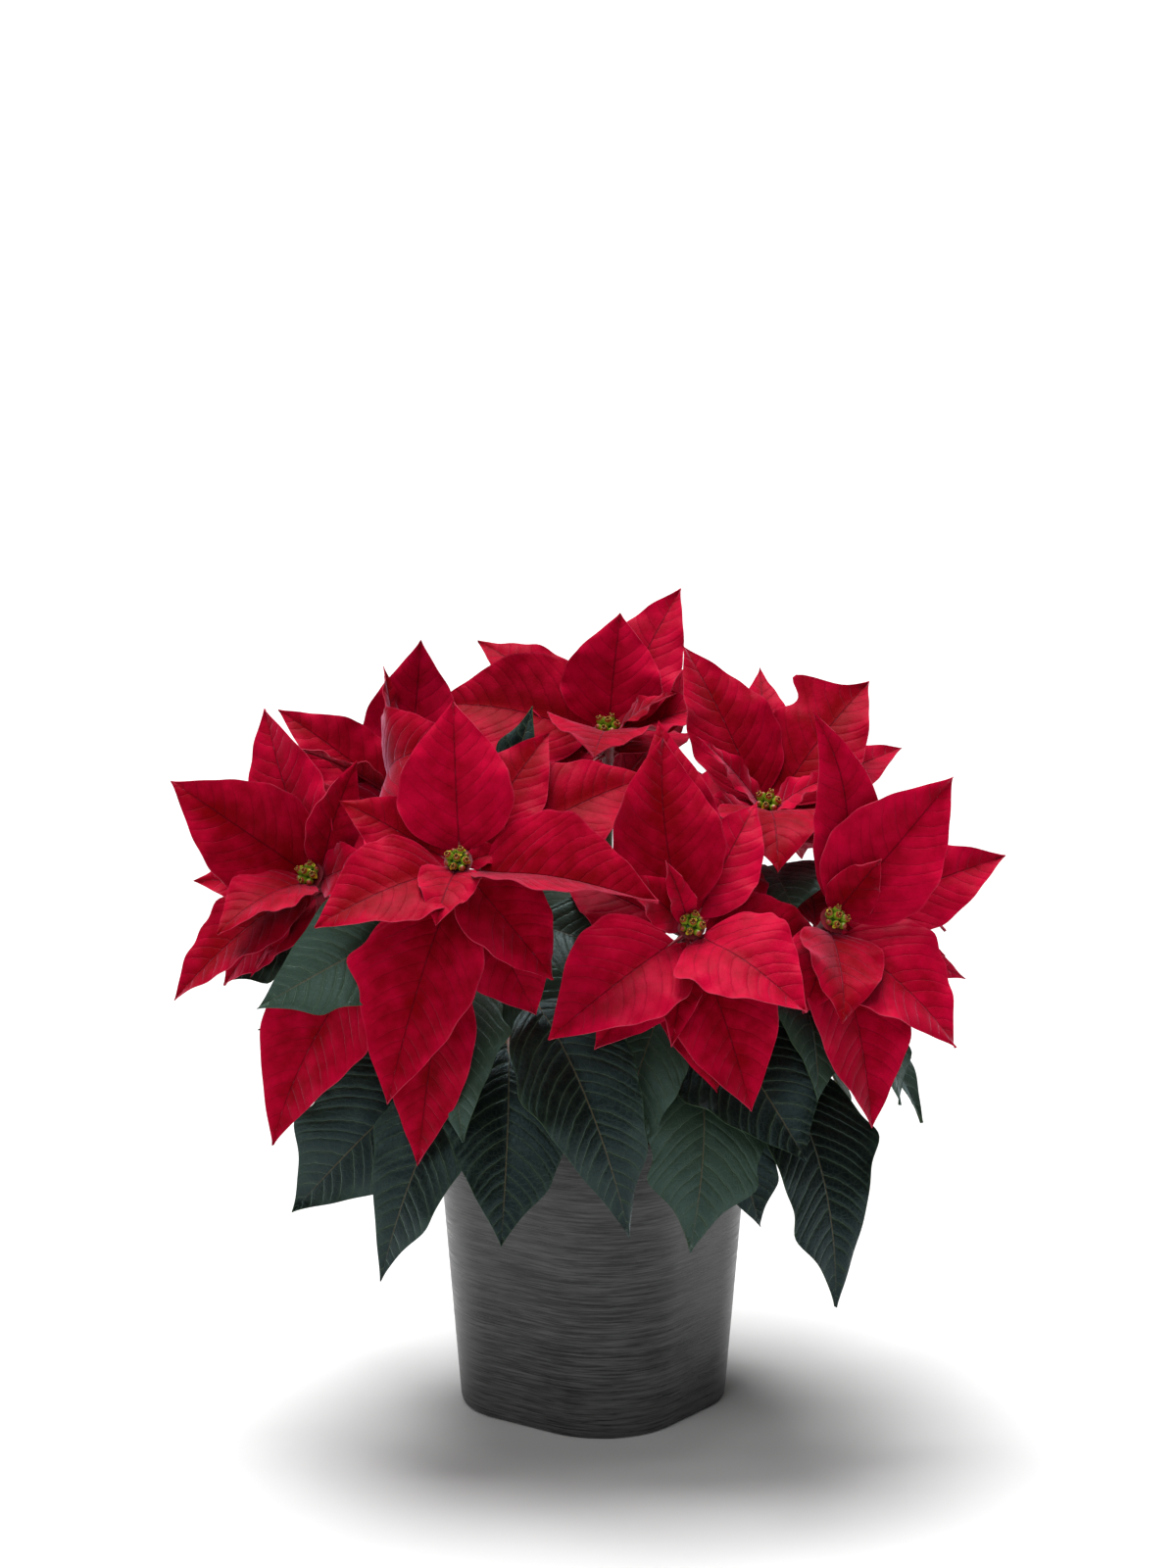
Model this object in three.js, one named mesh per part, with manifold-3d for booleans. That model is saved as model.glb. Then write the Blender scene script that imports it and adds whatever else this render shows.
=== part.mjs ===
// A poinsettia in a dark, rounded-square planter.
//
// Millimetres, +Z up. The origin is the centre of the planter's underside, and the largest bracts face -Y.
// Every blade (a red bract or a green leaf) is one formula: a midline from its foot to its tip, and a folded,
// waved and lobed cross-section that rides along it.

import * as THREE from "three";
import { mergeVertices } from "three/addons/utils/BufferGeometryUtils.js";
import Module from "manifold-3d";

// ---------------------------------------------------------------- planter and soil
const POT_HEIGHT = 172;
const POT_FOOT_HALF = 66.3; // half the side of the rounded square at the foot
const POT_RIM_HALF = 78.6;
const POT_CORNER = 0.69; // corner radius as a share of the half side
const POT_BOW = 1.7; // how far the middle of a face stands out
const POT_TURN = 53.7; // degrees that the faces are turned about Z
const POT_WALL = 5;
const POT_FLOOR = 6;
const POT_EDGE = 3.5; // rounding of the foot
const POT_SIDES = 32;
const SOIL_TOP = 152;
const CLEARANCE = 0.3; // kept between pieces that touch

// ---------------------------------------------------------------- stems
const MAIN_STEM_RADIUS = 6;
const MAIN_STEM_SIDES = 7;
const MAIN_STEM_STEPS = 5;
const MAIN_STEM_BASE = 74; // height at which the cuttings start, deep in the soil
const MAIN_STEM_BEND = 0.45; // share of the way from the soil to its top at which a main stem leans out
const STEM_RADIUS = 2.6;
const STEM_SIDES = 5;
const STEM_STEPS = 6;
const STEM_LEAVE = 0.35; // reach of a stem's first handle, as a share of its length
const STEM_ARRIVE = 0.3;
const HUB_RADIUS = 4.2; // the red top of a stem, which carries the bracts
const HUB_LENGTH = 26;
const HUB_SIDES = 6;

// ---------------------------------------------------------------- cyathia (the small true flowers)
const BUD_RADIUS = 2.6;
const BUD_HEIGHT = 7;
const BUD_RING = 2.9;
const BUD_LEAN = 0.45;
const BUD_COUNT = 4; // in the ring, with one more in the middle
const BUD_SIDES = 4;
const CUSHION_RADIUS = 3.8;
const CUSHION_HEIGHT = 2.6;

// ---------------------------------------------------------------- blades
const BLADE_THICKNESS = 0.9;
const STALK_HALF_WIDTH = 1.1;
const STALK_THICKNESS = 2.2;
const RISE = 0.68; // exponents of the outline: how fast it widens from the stalk and narrows to the tip
const FALL = 1.2;
const PEAK = (RISE / (RISE + FALL)) ** RISE * (FALL / (RISE + FALL)) ** FALL;
const LOBE_SPREAD = 0.075;
const WAVES = 2.3; // edge waves along a blade
const STATIONS = [0, 0.17, 0.42, 0.74]; // places of the cross-sections past the stalk
const SMALL_STATIONS = [0, 0.28, 0.66];
const FOOT_LOWS = [4, 13]; // how far under a head's centre its short and its long bracts start, unless stated
const LONG_BRACT = 110;
const LONG_STALK = 0.2; // a stalk longer than this share of its blade has a cross-section of its own
const SMALL_BLADE = 62; // a blade shorter than this has fewer cross-sections
const KEEP_CLEAR = 0.55; // kept between blades
const SHARE_COST = 20; // what a mm3 shared with another node costs, beside a mm3 shared with a blade's own
const TURN_COST = 1.5; // what a degree of turning costs
const ROOT_ZONE = 0.2; // share of a blade's length in which it may meet its own node
const GOLDEN_ANGLE = 137.508;

// Small turns that a blade tries, in degrees, until it is clear of its neighbours: [lift, swing].
const NUDGES = [
  [0, 0], [4, 0], [-4, 0], [0, 5], [0, -5], [8, 0], [-8, 0], [5, 6], [5, -6], [-5, 6], [-5, -6],
  [12, 0], [-12, 0], [0, 10], [0, -10], [9, 9], [9, -9], [-9, 9], [-9, -9], [17, 0], [-17, 0],
  [0, 17], [0, -17], [14, 12], [14, -12], [-14, 12], [-14, -12], [23, 0], [-23, 0], [0, 24], [0, -24],
];
const SMALL_NUDGES = 19; // how many of them a blade by rule tries

// ---------------------------------------------------------------- plants and heads
// A plant is one cutting: where its main stem leaves the soil and where that stem ends.
const PLANTS = [
  { name: "left", foot: [-27, -16], top: [-44, -30, 222] },
  { name: "right", foot: [30, -10], top: [44, -28, 222] },
  { name: "back", foot: [0, 30], top: [2, 44, 226] },
];

// A head: the plant it grows on, how far up that plant its stem forks off, its centre, the way it faces and
// its bracts. A bract: its tip from the head's centre, its width, and what differs from a plain bract.
const HEADS = [
  {
    name: "front_left", plant: 0, fork: 1, centre: [-72, -125, 344], axis: [-0.1, -0.8, 0.6],
    bracts: [
      [[-3, 33, 80], 64, {}],
      [[106, -35, -13], 74, { turn: -25, arch: 0.08, fold: 36 }],
      [[-75, -35, -27], 60, { turn: 10, arch: 0.12 }],
      [[-38, -25, -127], 66, { arch: 0.1, lobes: [[0.42, 1, 7]] }],
      [[-11, -44, -20], 34, { arch: 0.12 }],
      [[50, -15, -61], 52, { turn: -15, arch: 0.12 }],
      [[48, 53, 58], 50, {}],
      [[105, 40, 45], 68, { turn: -8, arch: 0.08 }],
      [[41, 5, -86], 62, { low: 16 }],
      [[-23, 7, -171], 48, { low: 22, stalk: 0.3 }],
      [[-101, 5, -159], 66, { low: 24, stalk: 0.3, sweep: 0.08 }],
      [[29, 7, 6], 12, {}],
      [[-64, 25, 27], 38, {}],
    ],
  },
  {
    name: "front_right", plant: 1, fork: 1, centre: [52, -130, 310], axis: [0.1, -0.82, 0.55],
    bracts: [
      [[-15, 42, 94], 62, { sweep: -0.06 }],
      [[60, -48, -34], 64, { turn: -10, arch: 0.1, lobes: [[0.25, 1, 6]] }],
      [[-76, -42, -51], 68, { turn: 10, arch: 0.1 }],
      [[32, -20, -97], 60, { arch: 0.12 }],
      [[36, 60, 53], 42, { low: 10 }],
      [[-36, -10, 31], 26, {}],
      [[-14, -8, 38], 14, {}],
      [[-6, 68, 95], 50, { low: 14 }],
      [[-11, -35, -57], 24, {}],
    ],
  },
  {
    name: "right", plant: 1, fork: 0.86, centre: [129, -95, 304], axis: [0.4, -0.7, 0.6],
    bracts: [
      [[65, 25, 73], 64, { arch: 0.08 }],
      [[96, 50, 23], 52, {}],
      [[-11, 23, 110], 38, { turn: -25, sweep: 0.12 }],
      [[21, -23, -110], 62, { arch: 0.1 }],
      [[65, -30, -63], 66, { arch: 0.1 }],
      [[-1, -50, -50], 50, { arch: 0.12 }],
      [[68, 20, -19], 28, {}],
      [[75, 43, -45], 26, { low: 14 }],
      [[-17, -30, -44], 40, { arch: 0.12 }],
      [[33, -2, 30], 28, { arch: -0.1, low: 6 }],
    ],
  },
  {
    name: "upper_right", plant: 1, fork: 0.72, centre: [95, -35, 353], axis: [0.1, -0.55, 0.83],
    bracts: [
      [[-46, 45, 80], 54, {}],
      [[56, 47, 65], 60, { lobes: [[0.74, -1, 18]] }],
      [[4, -62, -22], 60, { arch: 0.22, fold: 4 }],
      [[77, 65, 17], 42, { low: 12 }],
      [[-2, 85, 58], 34, { low: 14 }],
      [[-32, -16, 44], 16, {}],
      [[-38, -40, 24], 20, {}],
      [[38, -14, 20], 20, {}],
      [[80, -10, -20], 40, { low: 16, arch: 0.15 }],
    ],
  },
  {
    name: "top", plant: 2, fork: 1, centre: [8, 20, 383], axis: [0, -0.5, 0.87],
    bracts: [
      [[7, 18, 62], 58, {}],
      [[41, 52, 69], 50, { low: 12 }],
      [[-97, 25, 8], 72, { turn: -20, arch: 0.1, fold: 16 }],
      [[-6, -58, 18], 64, { arch: 0.12 }],
      [[-84, 42, 48], 46, { low: 12 }],
      [[57, 2, 22], 34, {}],
      [[34, -20, 32], 18, {}],
      [[-10, 85, 20], 50, { low: 12, arch: 0.12 }],
      [[70, 60, 5], 44, { low: 16, arch: 0.12 }],
    ],
  },
  {
    name: "upper_left", plant: 0, fork: 0.72, centre: [-105, 2, 352], axis: [0, -0.45, 0.89],
    bracts: [
      [[9, 30, 79], 58, { arch: -0.08 }],
      [[55, -47, 33], 66, { arch: 0.3, facing: [-0.2, -0.75, 0.65] }],
      [[-70, 18, 42], 42, { facing: [-0.3, -0.6, 0.75] }],
      [[-31, 14, 62], 20, { turn: 50 }],
      [[-47, -18, 50], 20, { turn: 50 }],
      [[-44, -44, 18], 28, { arch: 0.12 }],
      [[-14, -58, 2], 30, { arch: 0.15 }],
      [[-80, 58, 5], 50, { low: 16, arch: 0.12 }],
      [[5, 88, 10], 48, { low: 16, arch: 0.12 }],
    ],
  },
  {
    name: "left", plant: 0, fork: 0.86, centre: [-153, -70, 322], axis: [-0.5, -0.65, 0.57],
    bracts: [
      [[-76, 8, 51], 62, { low: 13 }],
      [[-27, 48, 82], 50, {}],
      [[-54, -36, 0], 46, { arch: 0.12 }],
      [[-74, -22, -64], 46, { arch: 0.1 }],
      [[-66, 8, 4], 34, { low: 16 }],
      [[8, 22, 63], 30, { turn: 60 }],
      [[34, -20, 12], 32, {}],
      [[-40, -8, -49], 14, {}],
      [[-60, 60, 0], 46, { low: 16, arch: 0.12 }],
    ],
  },
  { name: "back_left", plant: 2, fork: 0.86, centre: [-82, 106, 314], axis: [-0.4, 0.7, 0.58], bracts: [] },
  { name: "back", plant: 2, fork: 0.72, centre: [10, 132, 322], axis: [0.05, 0.8, 0.6], bracts: [] },
  { name: "back_right", plant: 2, fork: 0.58, centre: [96, 104, 314], axis: [0.5, 0.65, 0.58], bracts: [] },
  { name: "side_left", plant: 0, fork: 0.58, centre: [-146, 34, 292], axis: [-0.8, 0.2, 0.57], bracts: [] },
  { name: "side_right", plant: 1, fork: 0.58, centre: [144, 22, 300], axis: [0.8, 0.15, 0.58], bracts: [] },
];

// Bracts by rule, turned by the golden angle round a head's axis, each lower and longer than the last one.
// A head without a list of its own has a whole whorl; under a listed head a skirt fills the gaps.
const WHORL = { count: 9, lengths: [50, 92], rises: [48, -8], lows: [7, 20], share: 0.54 };
const SKIRT = { count: 6, lengths: [80, 98], rises: [-16, -40], lows: [17, 24], share: 0.54 };

// A leaf: the head whose stem carries it, how far up that stem, its tip, its width, and what differs.
const LEAVES = [
  ["front_left", 0.82, [-175, -150, 274], 58, { arch: 0.16, facing: [0.1, -0.9, 0.4] }],
  ["front_left", 0.12, [-165, -78, 134], 78,
    { facing: [-0.1, -0.9, 0.3], lobes: [[0.42, 1, 11], [0.7, 1, 8]] }],
  ["front_left", 0.1, [-116, -108, 104], 52, { arch: 0.25, facing: [-0.1, -0.8, 0.6] }],
  ["front_left", 0.2, [-76, -112, 122], 72, { arch: 0.18, facing: [0.1, -0.95, 0.3] }],
  ["front_left", 0.4, [-79, -125, 188], 54, { arch: 0.22, lobes: [[0.42, 1, 8], [0.42, -1, 8]] }],
  ["front_left", 0.4, [20, -152, 148], 64, { arch: 0.3, facing: [0.1, -0.8, 0.6] }],
  ["front_left", 0.7, [20, -140, 232], 52, { arch: 0.15 }],
  ["front_left", 0.5, [-12, -108, 228], 52, { arch: 0.2, facing: [0, -0.9, 0.5] }],
  ["front_right", 0.15, [52, -130, 128], 76, { arch: 0.28, lobes: [[0.74, 1, 9], [0.74, -1, 9]] }],
  ["front_right", 0.7, [9, -170, 205], 50, { arch: 0.15 }],
  ["front_right", 0.35, [114, -142, 182], 78, { arch: 0.15, facing: [0.1, -0.85, 0.5] }],
  ["right", 0.35, [126, -119, 89], 62,
    { arch: 0.22, facing: [0.35, -0.65, 0.65], lobes: [[0.42, -1, 9], [0.74, 1, 7]] }],
  ["right", 0.4, [180, -72, 183], 52, { arch: 0.22 }],
  ["right", 0.2, [92, -64, 121], 46, { arch: 0.2, facing: [0, -0.95, 0.3] }],
  ["right", 0.6, [114, -128, 203], 48, { arch: 0.22 }],
  ["right", 0.7, [148, -98, 188], 54, { arch: 0.22 }],
  ["left", 0.55, [-183, -66, 234], 46, { arch: 0.2, facing: [-0.3, -0.8, 0.5] }],
  ["left", 0.8, [-199, -62, 261], 40, { arch: 0.15, facing: [-0.3, -0.8, 0.5] }],
  ["front_left", 0.7, [-33, -64, 415], 30, { arch: 0.1, facing: [0, -0.9, 0.4] }],
  ["upper_right", 0.84, [108, -90, 306], 58, { arch: 0.12, facing: [0.2, -0.8, 0.6] }],
];

// Leaves by rule, round the side away from the viewer and between the stems: rings of hanging leaves.
const RINGS = [
  { count: 9, from: 5, to: 175, reach: 150, height: 150, at: 0.22, width: 58, arch: 0.28 },
  { count: 8, from: 12, to: 168, reach: 160, height: 225, at: 0.55, width: 56, arch: 0.22 },
  { count: 6, from: 195, to: 345, reach: 112, height: 185, at: 0.3, width: 54, arch: 0.25 },
  { count: 9, from: -60, to: 300, reach: 84, height: 272, at: 0.62, width: 50, arch: 0.14 },
];
const UNEVEN = { reach: 0.06, height: 14, at: 0.08 }; // how much the leaves of a ring differ

// ---------------------------------------------------------------- small vector helpers
const UP = new THREE.Vector3(0, 0, 1);
const vec = (a) => new THREE.Vector3(...a);
const flatten = (v, n) => v.clone().addScaledVector(n, -v.dot(n)).normalize();
const rad = THREE.MathUtils.degToRad;
const mix = THREE.MathUtils.lerp;

const wasm = await Module();
wasm.setup();

/** Turns a closed geometry into a solid that can be joined and cut. */
function solidOf(geometry) {
  const bare = geometry.index ? geometry.toNonIndexed() : geometry.clone();
  bare.deleteAttribute("normal");
  bare.deleteAttribute("uv");
  const merged = mergeVertices(bare, 1e-4);
  return new wasm.Manifold(new wasm.Mesh({
    numProp: 3,
    vertProperties: new Float32Array(merged.attributes.position.array),
    triVerts: new Uint32Array(merged.index.array),
  }));
}

/** Turns a solid back into a geometry, without the loose scraps that a cut leaves. */
function geometryOf(solid) {
  const pieces = solid.decompose();
  pieces.sort((a, b) => b.volume() - a.volume());
  const mesh = pieces[0].getMesh();
  const geometry = new THREE.BufferGeometry();
  geometry.setAttribute("position", new THREE.BufferAttribute(mesh.vertProperties, 3));
  geometry.setIndex(new THREE.BufferAttribute(mesh.triVerts, 1));
  return geometry;
}

/** Several solids joined in one. */
const fused = (solids) => solids.slice(1).reduce((whole, solid) => whole.add(solid), solids[0]);

/** A round bar of one radius along a curve. */
function bar(curve, radius, sides, steps) {
  const section = new THREE.Shape();
  for (let i = 0; i < sides; i += 1) {
    const angle = (2 * Math.PI * i) / sides;
    section.lineTo(radius * Math.cos(angle), radius * Math.sin(angle));
  }
  const options = { steps, extrudePath: curve, bevelEnabled: false, curveSegments: 1 };
  return solidOf(new THREE.ExtrudeGeometry(section, options));
}

/** A turned shape, given as [radius, height] pairs, set at a place with its axis along a direction. */
function turned(profile, sides, place, axis) {
  const points = profile.map(([r, h]) => new THREE.Vector2(r, h));
  const geometry = new THREE.LatheGeometry(points, sides);
  geometry.applyQuaternion(new THREE.Quaternion().setFromUnitVectors(new THREE.Vector3(0, 1, 0), axis));
  geometry.translate(place.x, place.y, place.z);
  return solidOf(geometry);
}

// ---------------------------------------------------------------- planter and soil
/** Distance from the centre to a rounded square with half side 1, in a direction given in radians. */
function squareRadius(angle) {
  const quarter = Math.PI / 2;
  const off = Math.abs(angle - quarter * Math.round(angle / quarter));
  const straight = 1 - POT_CORNER;
  if (Math.tan(off) <= straight) return 1 / Math.cos(off);
  const along = straight * (Math.cos(off) + Math.sin(off));
  return along + Math.sqrt(along ** 2 - 2 * straight ** 2 + POT_CORNER ** 2);
}

/** A lathe shape pushed out to the planter's rounded square; profile pairs are [half side, height]. */
function squareTurned(profile, bow) {
  const geometry = new THREE.LatheGeometry(profile.map(([r, h]) => new THREE.Vector2(r, h)), POT_SIDES);
  geometry.rotateX(Math.PI / 2);
  const position = geometry.attributes.position;
  for (let i = 0; i < position.count; i += 1) {
    const angle = Math.atan2(position.getY(i), position.getX(i));
    const radius = Math.hypot(position.getX(i), position.getY(i));
    const height = position.getZ(i);
    const swell = bow * Math.cos(2 * angle) ** 2 * Math.sin((Math.PI * height) / POT_HEIGHT);
    const pushed = radius > 0 ? radius * squareRadius(angle) + swell * (radius / POT_RIM_HALF) : 0;
    position.setXYZ(i, pushed * Math.cos(angle), pushed * Math.sin(angle), height);
  }
  geometry.rotateZ(rad(POT_TURN));
  return solidOf(geometry);
}

const halfSide = (height) => mix(POT_FOOT_HALF, POT_RIM_HALF, height / POT_HEIGHT);

function makePot() {
  const inner = (height) => halfSide(height) - POT_WALL;
  return squareTurned([
    [0, 0],
    [POT_FOOT_HALF - POT_EDGE, 0],
    [halfSide(POT_EDGE) - 1, POT_EDGE * 0.4],
    [halfSide(POT_EDGE), POT_EDGE],
    [halfSide(POT_HEIGHT / 2), POT_HEIGHT / 2],
    [halfSide(POT_HEIGHT) - 0.8, POT_HEIGHT],
    [inner(POT_HEIGHT), POT_HEIGHT],
    [inner(POT_HEIGHT / 2), POT_HEIGHT / 2],
    [inner(POT_FLOOR), POT_FLOOR],
    [0, POT_FLOOR],
  ], POT_BOW);
}

function makeSoil() {
  const fit = (height) => halfSide(height) - POT_WALL - CLEARANCE;
  return squareTurned([
    [0, POT_FLOOR + CLEARANCE],
    [fit(POT_FLOOR), POT_FLOOR + CLEARANCE],
    [fit(SOIL_TOP) - 0.5, SOIL_TOP],
    [0, SOIL_TOP],
  ], POT_BOW);
}

// ---------------------------------------------------------------- stems
/** The line of a plant's main stem, from deep in the soil to its top. */
function mainStemCurve(plant) {
  const [x, y, z] = plant.top;
  const [footX, footY] = plant.foot;
  const low = new THREE.Vector3(footX, footY, MAIN_STEM_BASE);
  const bend = new THREE.Vector3(footX, footY, mix(SOIL_TOP, z, MAIN_STEM_BEND));
  return new THREE.QuadraticBezierCurve3(low, bend, new THREE.Vector3(x, y, z));
}

/** The solid of a plant's main stem, grown by a margin. */
function mainStem(plant, extra = 0) {
  return bar(mainStemCurve(plant), MAIN_STEM_RADIUS + extra, MAIN_STEM_SIDES, MAIN_STEM_STEPS);
}

/** The line of a head's stem, from its plant's main stem to the foot of the red hub. */
function stemCurve(head) {
  const start = mainStemCurve(PLANTS[head.plant]).getPoint(head.fork);
  const axis = vec(head.axis).normalize();
  const end = vec(head.centre).addScaledVector(axis, -HUB_LENGTH - CLEARANCE);
  const reach = start.distanceTo(end);
  const out = flatten(end.clone().sub(start), UP).multiplyScalar(head.fork === 1 ? 0.35 : 1);
  const first = start.clone().addScaledVector(out.add(UP).normalize(), reach * STEM_LEAVE);
  const last = end.clone().addScaledVector(axis, -reach * STEM_ARRIVE);
  return new THREE.CubicBezierCurve3(start, first, last, end);
}

// ---------------------------------------------------------------- blades
/** Point and cross-section directions of a blade's midline at t, from its foot (0) to its tip (1). */
function spine(blade, t) {
  const chord = blade.tip.clone().sub(blade.foot);
  const length = chord.length();
  const along = chord.divideScalar(length);
  const face = flatten(blade.facing, along);
  const side = new THREE.Vector3().crossVectors(along, face);
  const bulge = 4 * t * (1 - t) * length;
  const slope = 4 * (1 - 2 * t);
  const point = blade.foot.clone().addScaledVector(along, length * t)
    .addScaledVector(face, bulge * blade.arch).addScaledVector(side, bulge * blade.sweep);
  const tangent = along.clone().addScaledVector(face, slope * blade.arch)
    .addScaledVector(side, slope * blade.sweep).normalize();
  const normal = flatten(face, tangent).applyAxisAngle(tangent, rad(blade.turn));
  const across = new THREE.Vector3().crossVectors(tangent, normal);
  return { point, normal, across };
}

/** Half the width of a blade at t on one side (-1 left, 1 right), with its lobes. */
function halfWidth(blade, t, side) {
  const u = (t - blade.stalk) / (1 - blade.stalk);
  if (u <= 0) return STALK_HALF_WIDTH;
  const shape = (u ** RISE * (1 - u) ** FALL) / PEAK;
  let half = STALK_HALF_WIDTH * (1 - u) + (blade.width / 2) * shape;
  for (const [at, which, size] of blade.lobes) {
    if (which === side) half += size * Math.exp(-(((u - at) / LOBE_SPREAD) ** 2));
  }
  return half;
}

/** How far the edge of a blade stands off its folded plane at t, on one side. */
function edgeWave(blade, t, side) {
  const u = Math.max(0, (t - blade.stalk) / (1 - blade.stalk));
  return blade.wave * Math.sin(2 * Math.PI * WAVES * u + blade.phase + side) * Math.sin(Math.PI * u);
}

/** Places of a blade's cross-sections along its midline; the nearest one moves to a lobe. */
function stationsOf(blade) {
  const base = [...(blade.tip.distanceTo(blade.foot) < SMALL_BLADE ? SMALL_STATIONS : STATIONS)];
  for (const [at] of blade.lobes) {
    const gap = (i) => Math.abs(base[i] - at);
    const nearest = base.reduce((best, _, i) => (gap(i) < gap(best) ? i : best), 1);
    base[nearest] = at;
  }
  const stations = base.map((u) => blade.stalk + u * (1 - blade.stalk));
  return blade.stalk > LONG_STALK ? [LONG_STALK / 2, ...stations] : stations;
}

/** The closed skin of a blade, grown by a margin for testing clearances. */
function bladeSolid(blade, margin = 0) {
  const stations = stationsOf(blade);
  const fold = rad(blade.fold);
  const upper = [];
  const lower = [];
  for (const t of stations) {
    const { point, normal, across } = spine(blade, t);
    const onStalk = t <= blade.stalk;
    const half = (onStalk ? STALK_THICKNESS : BLADE_THICKNESS) / 2 + margin;
    for (const side of [-1, 0, 1]) {
      const width = side === 0 ? 0 : halfWidth(blade, t, side) + margin;
      const height = side === 0 || onStalk ? 0 : width * Math.sin(fold) + edgeWave(blade, t, side);
      const edge = point.clone().addScaledVector(across, side * width * Math.cos(fold))
        .addScaledVector(normal, height);
      upper.push(edge.clone().addScaledVector(normal, half));
      lower.push(edge.clone().addScaledVector(normal, -half));
    }
  }
  const along = blade.tip.clone().sub(blade.foot).normalize();
  const tip = blade.tip.clone().addScaledVector(along, margin);
  return solidOf(skin(upper, lower, blade.foot, tip));
}

/** Joins the upper and lower points of a blade (three a station) with its foot and tip into a closed skin. */
function skin(upper, lower, foot, tip) {
  const under = upper.length;
  const end = 2 * under;
  const faces = [];
  const both = (a, b, c) => faces.push(a, b, c, under + a, under + c, under + b);
  const rim = (a, b) => faces.push(b, under + b, a, a, under + b, under + a);
  for (let left = 0; left < under - 3; left += 3) {
    for (const start of [left, left + 1]) {
      both(start, start + 1, start + 3);
      both(start + 1, start + 4, start + 3);
    }
    rim(left, left + 3);
    rim(left + 5, left + 2);
  }
  const close = (apex, [a, b, c]) => faces.push(
    apex, b, a, apex, c, b, apex, under + b, under + c, apex, under + a, under + b,
    apex, a, under + a, apex, under + c, c,
  );
  close(end, [0, 1, 2]);
  close(end + 1, [under - 1, under - 2, under - 3]);
  const geometry = new THREE.BufferGeometry();
  const points = [...upper, ...lower, foot, tip].flatMap((p) => p.toArray());
  geometry.setAttribute("position", new THREE.BufferAttribute(new Float32Array(points), 3));
  geometry.setIndex(faces);
  return geometry;
}

/** The same blade with its tip turned about its foot by a nudge. */
function nudged(blade, [lift, swing]) {
  const chord = blade.tip.clone().sub(blade.foot);
  const along = chord.clone().normalize();
  const face = flatten(blade.facing, along);
  const side = new THREE.Vector3().crossVectors(along, face);
  chord.applyAxisAngle(side, rad(lift)).applyAxisAngle(face, rad(swing));
  return { ...blade, tip: blade.foot.clone().add(chord) };
}

// What a blade is unless its entry says otherwise. stalk: share of its length; arch and sweep: how far its
// midline bulges towards its face and its side, as a share of its length; turn: degrees about its midline;
// fold: degrees that each half stands up; wave: mm; lobes: [place, side, size]; low: mm under the centre.
const PLAIN_BRACT = { stalk: 0.11, arch: 0.06, sweep: 0, turn: 0, fold: 12, wave: 2.2, lobes: [], low: 0 };
const PLAIN_LEAF = {
  ...PLAIN_BRACT, stalk: 0.26, arch: 0.2, fold: 9, wave: 1.6, lobes: [[0.42, 1, 4], [0.74, -1, 4]],
};

/** Bract entries by a rule: golden-angle steps round a head's axis. */
function ruled(axis, rule) {
  const first = flatten(UP, axis);
  return Array.from({ length: rule.count }, (_, i) => {
    const outer = i / (rule.count - 1);
    const out = first.clone().applyAxisAngle(axis, rad(i * GOLDEN_ANGLE));
    const rise = rad(mix(...rule.rises, outer));
    const length = mix(...rule.lengths, outer);
    const offset = out.multiplyScalar(Math.cos(rise)).addScaledVector(axis, Math.sin(rise));
    const changes = { low: mix(...rule.lows, outer), arch: 0.1 };
    return [offset.multiplyScalar(length).toArray(), length * rule.share, changes];
  });
}

/** The bracts of a head, from entries of tip offset, width and changes to a plain bract. */
function bractsOf(head, entries) {
  const axis = vec(head.axis).normalize();
  const centre = vec(head.centre);
  return entries.map(([offset, width, changes], i) => {
    const bract = { ...PLAIN_BRACT, ...changes, width, phase: i * rad(GOLDEN_ANGLE) };
    const tip = centre.clone().add(vec(offset));
    const low = bract.low || mix(...FOOT_LOWS, Math.min(1, vec(offset).length() / LONG_BRACT));
    const foot = centre.clone().addScaledVector(axis, -low);
    return { ...bract, tip, foot, facing: changes.facing ? vec(changes.facing) : axis };
  });
}

/** A leaf that grows from a head's stem, at a share of that stem's length. */
function leafOn(head, at, tipAt, width, changes, index) {
  const leaf = { ...PLAIN_LEAF, ...changes, width, phase: index * rad(GOLDEN_ANGLE) };
  const foot = stemCurve(head).getPoint(at);
  const tip = vec(tipAt);
  const outAndUp = new THREE.Vector3(tip.x, tip.y, 0).normalize().add(UP);
  return { ...leaf, foot, tip, facing: changes.facing ? vec(changes.facing) : outAndUp };
}

/** The listed leaves of one head's stem. */
function leavesOf(head) {
  return LEAVES.filter(([name]) => name === head.name)
    .map(([, at, tip, width, changes], i) => leafOn(head, at, tip, width, changes, i));
}

// ---------------------------------------------------------------- assembly
const MATERIALS = {
  pot: new THREE.MeshStandardMaterial({ color: 0x3c3c3d, roughness: 0.42, metalness: 0.1 }),
  soil: new THREE.MeshStandardMaterial({ color: 0x2a1f18, roughness: 0.95, metalness: 0 }),
  wood: new THREE.MeshStandardMaterial({ color: 0x6b5a3a, roughness: 0.8, metalness: 0 }),
  leaf: new THREE.MeshStandardMaterial({ color: 0x27402a, roughness: 0.5, metalness: 0 }),
  bract: new THREE.MeshStandardMaterial({ color: 0xb00a2c, roughness: 0.6, metalness: 0 }),
  cyathium: new THREE.MeshStandardMaterial({ color: 0x8fa32c, roughness: 0.6, metalness: 0 }),
};

// Everything that stands so far: its node, solid and box, a function that grows it by the clearance, and
// whether blades of its own node may start in it.
const placed = [];

const apart = (a, b) => [0, 1, 2].some((i) => a.min[i] > b.max[i] || a.max[i] < b.min[i]);

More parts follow.
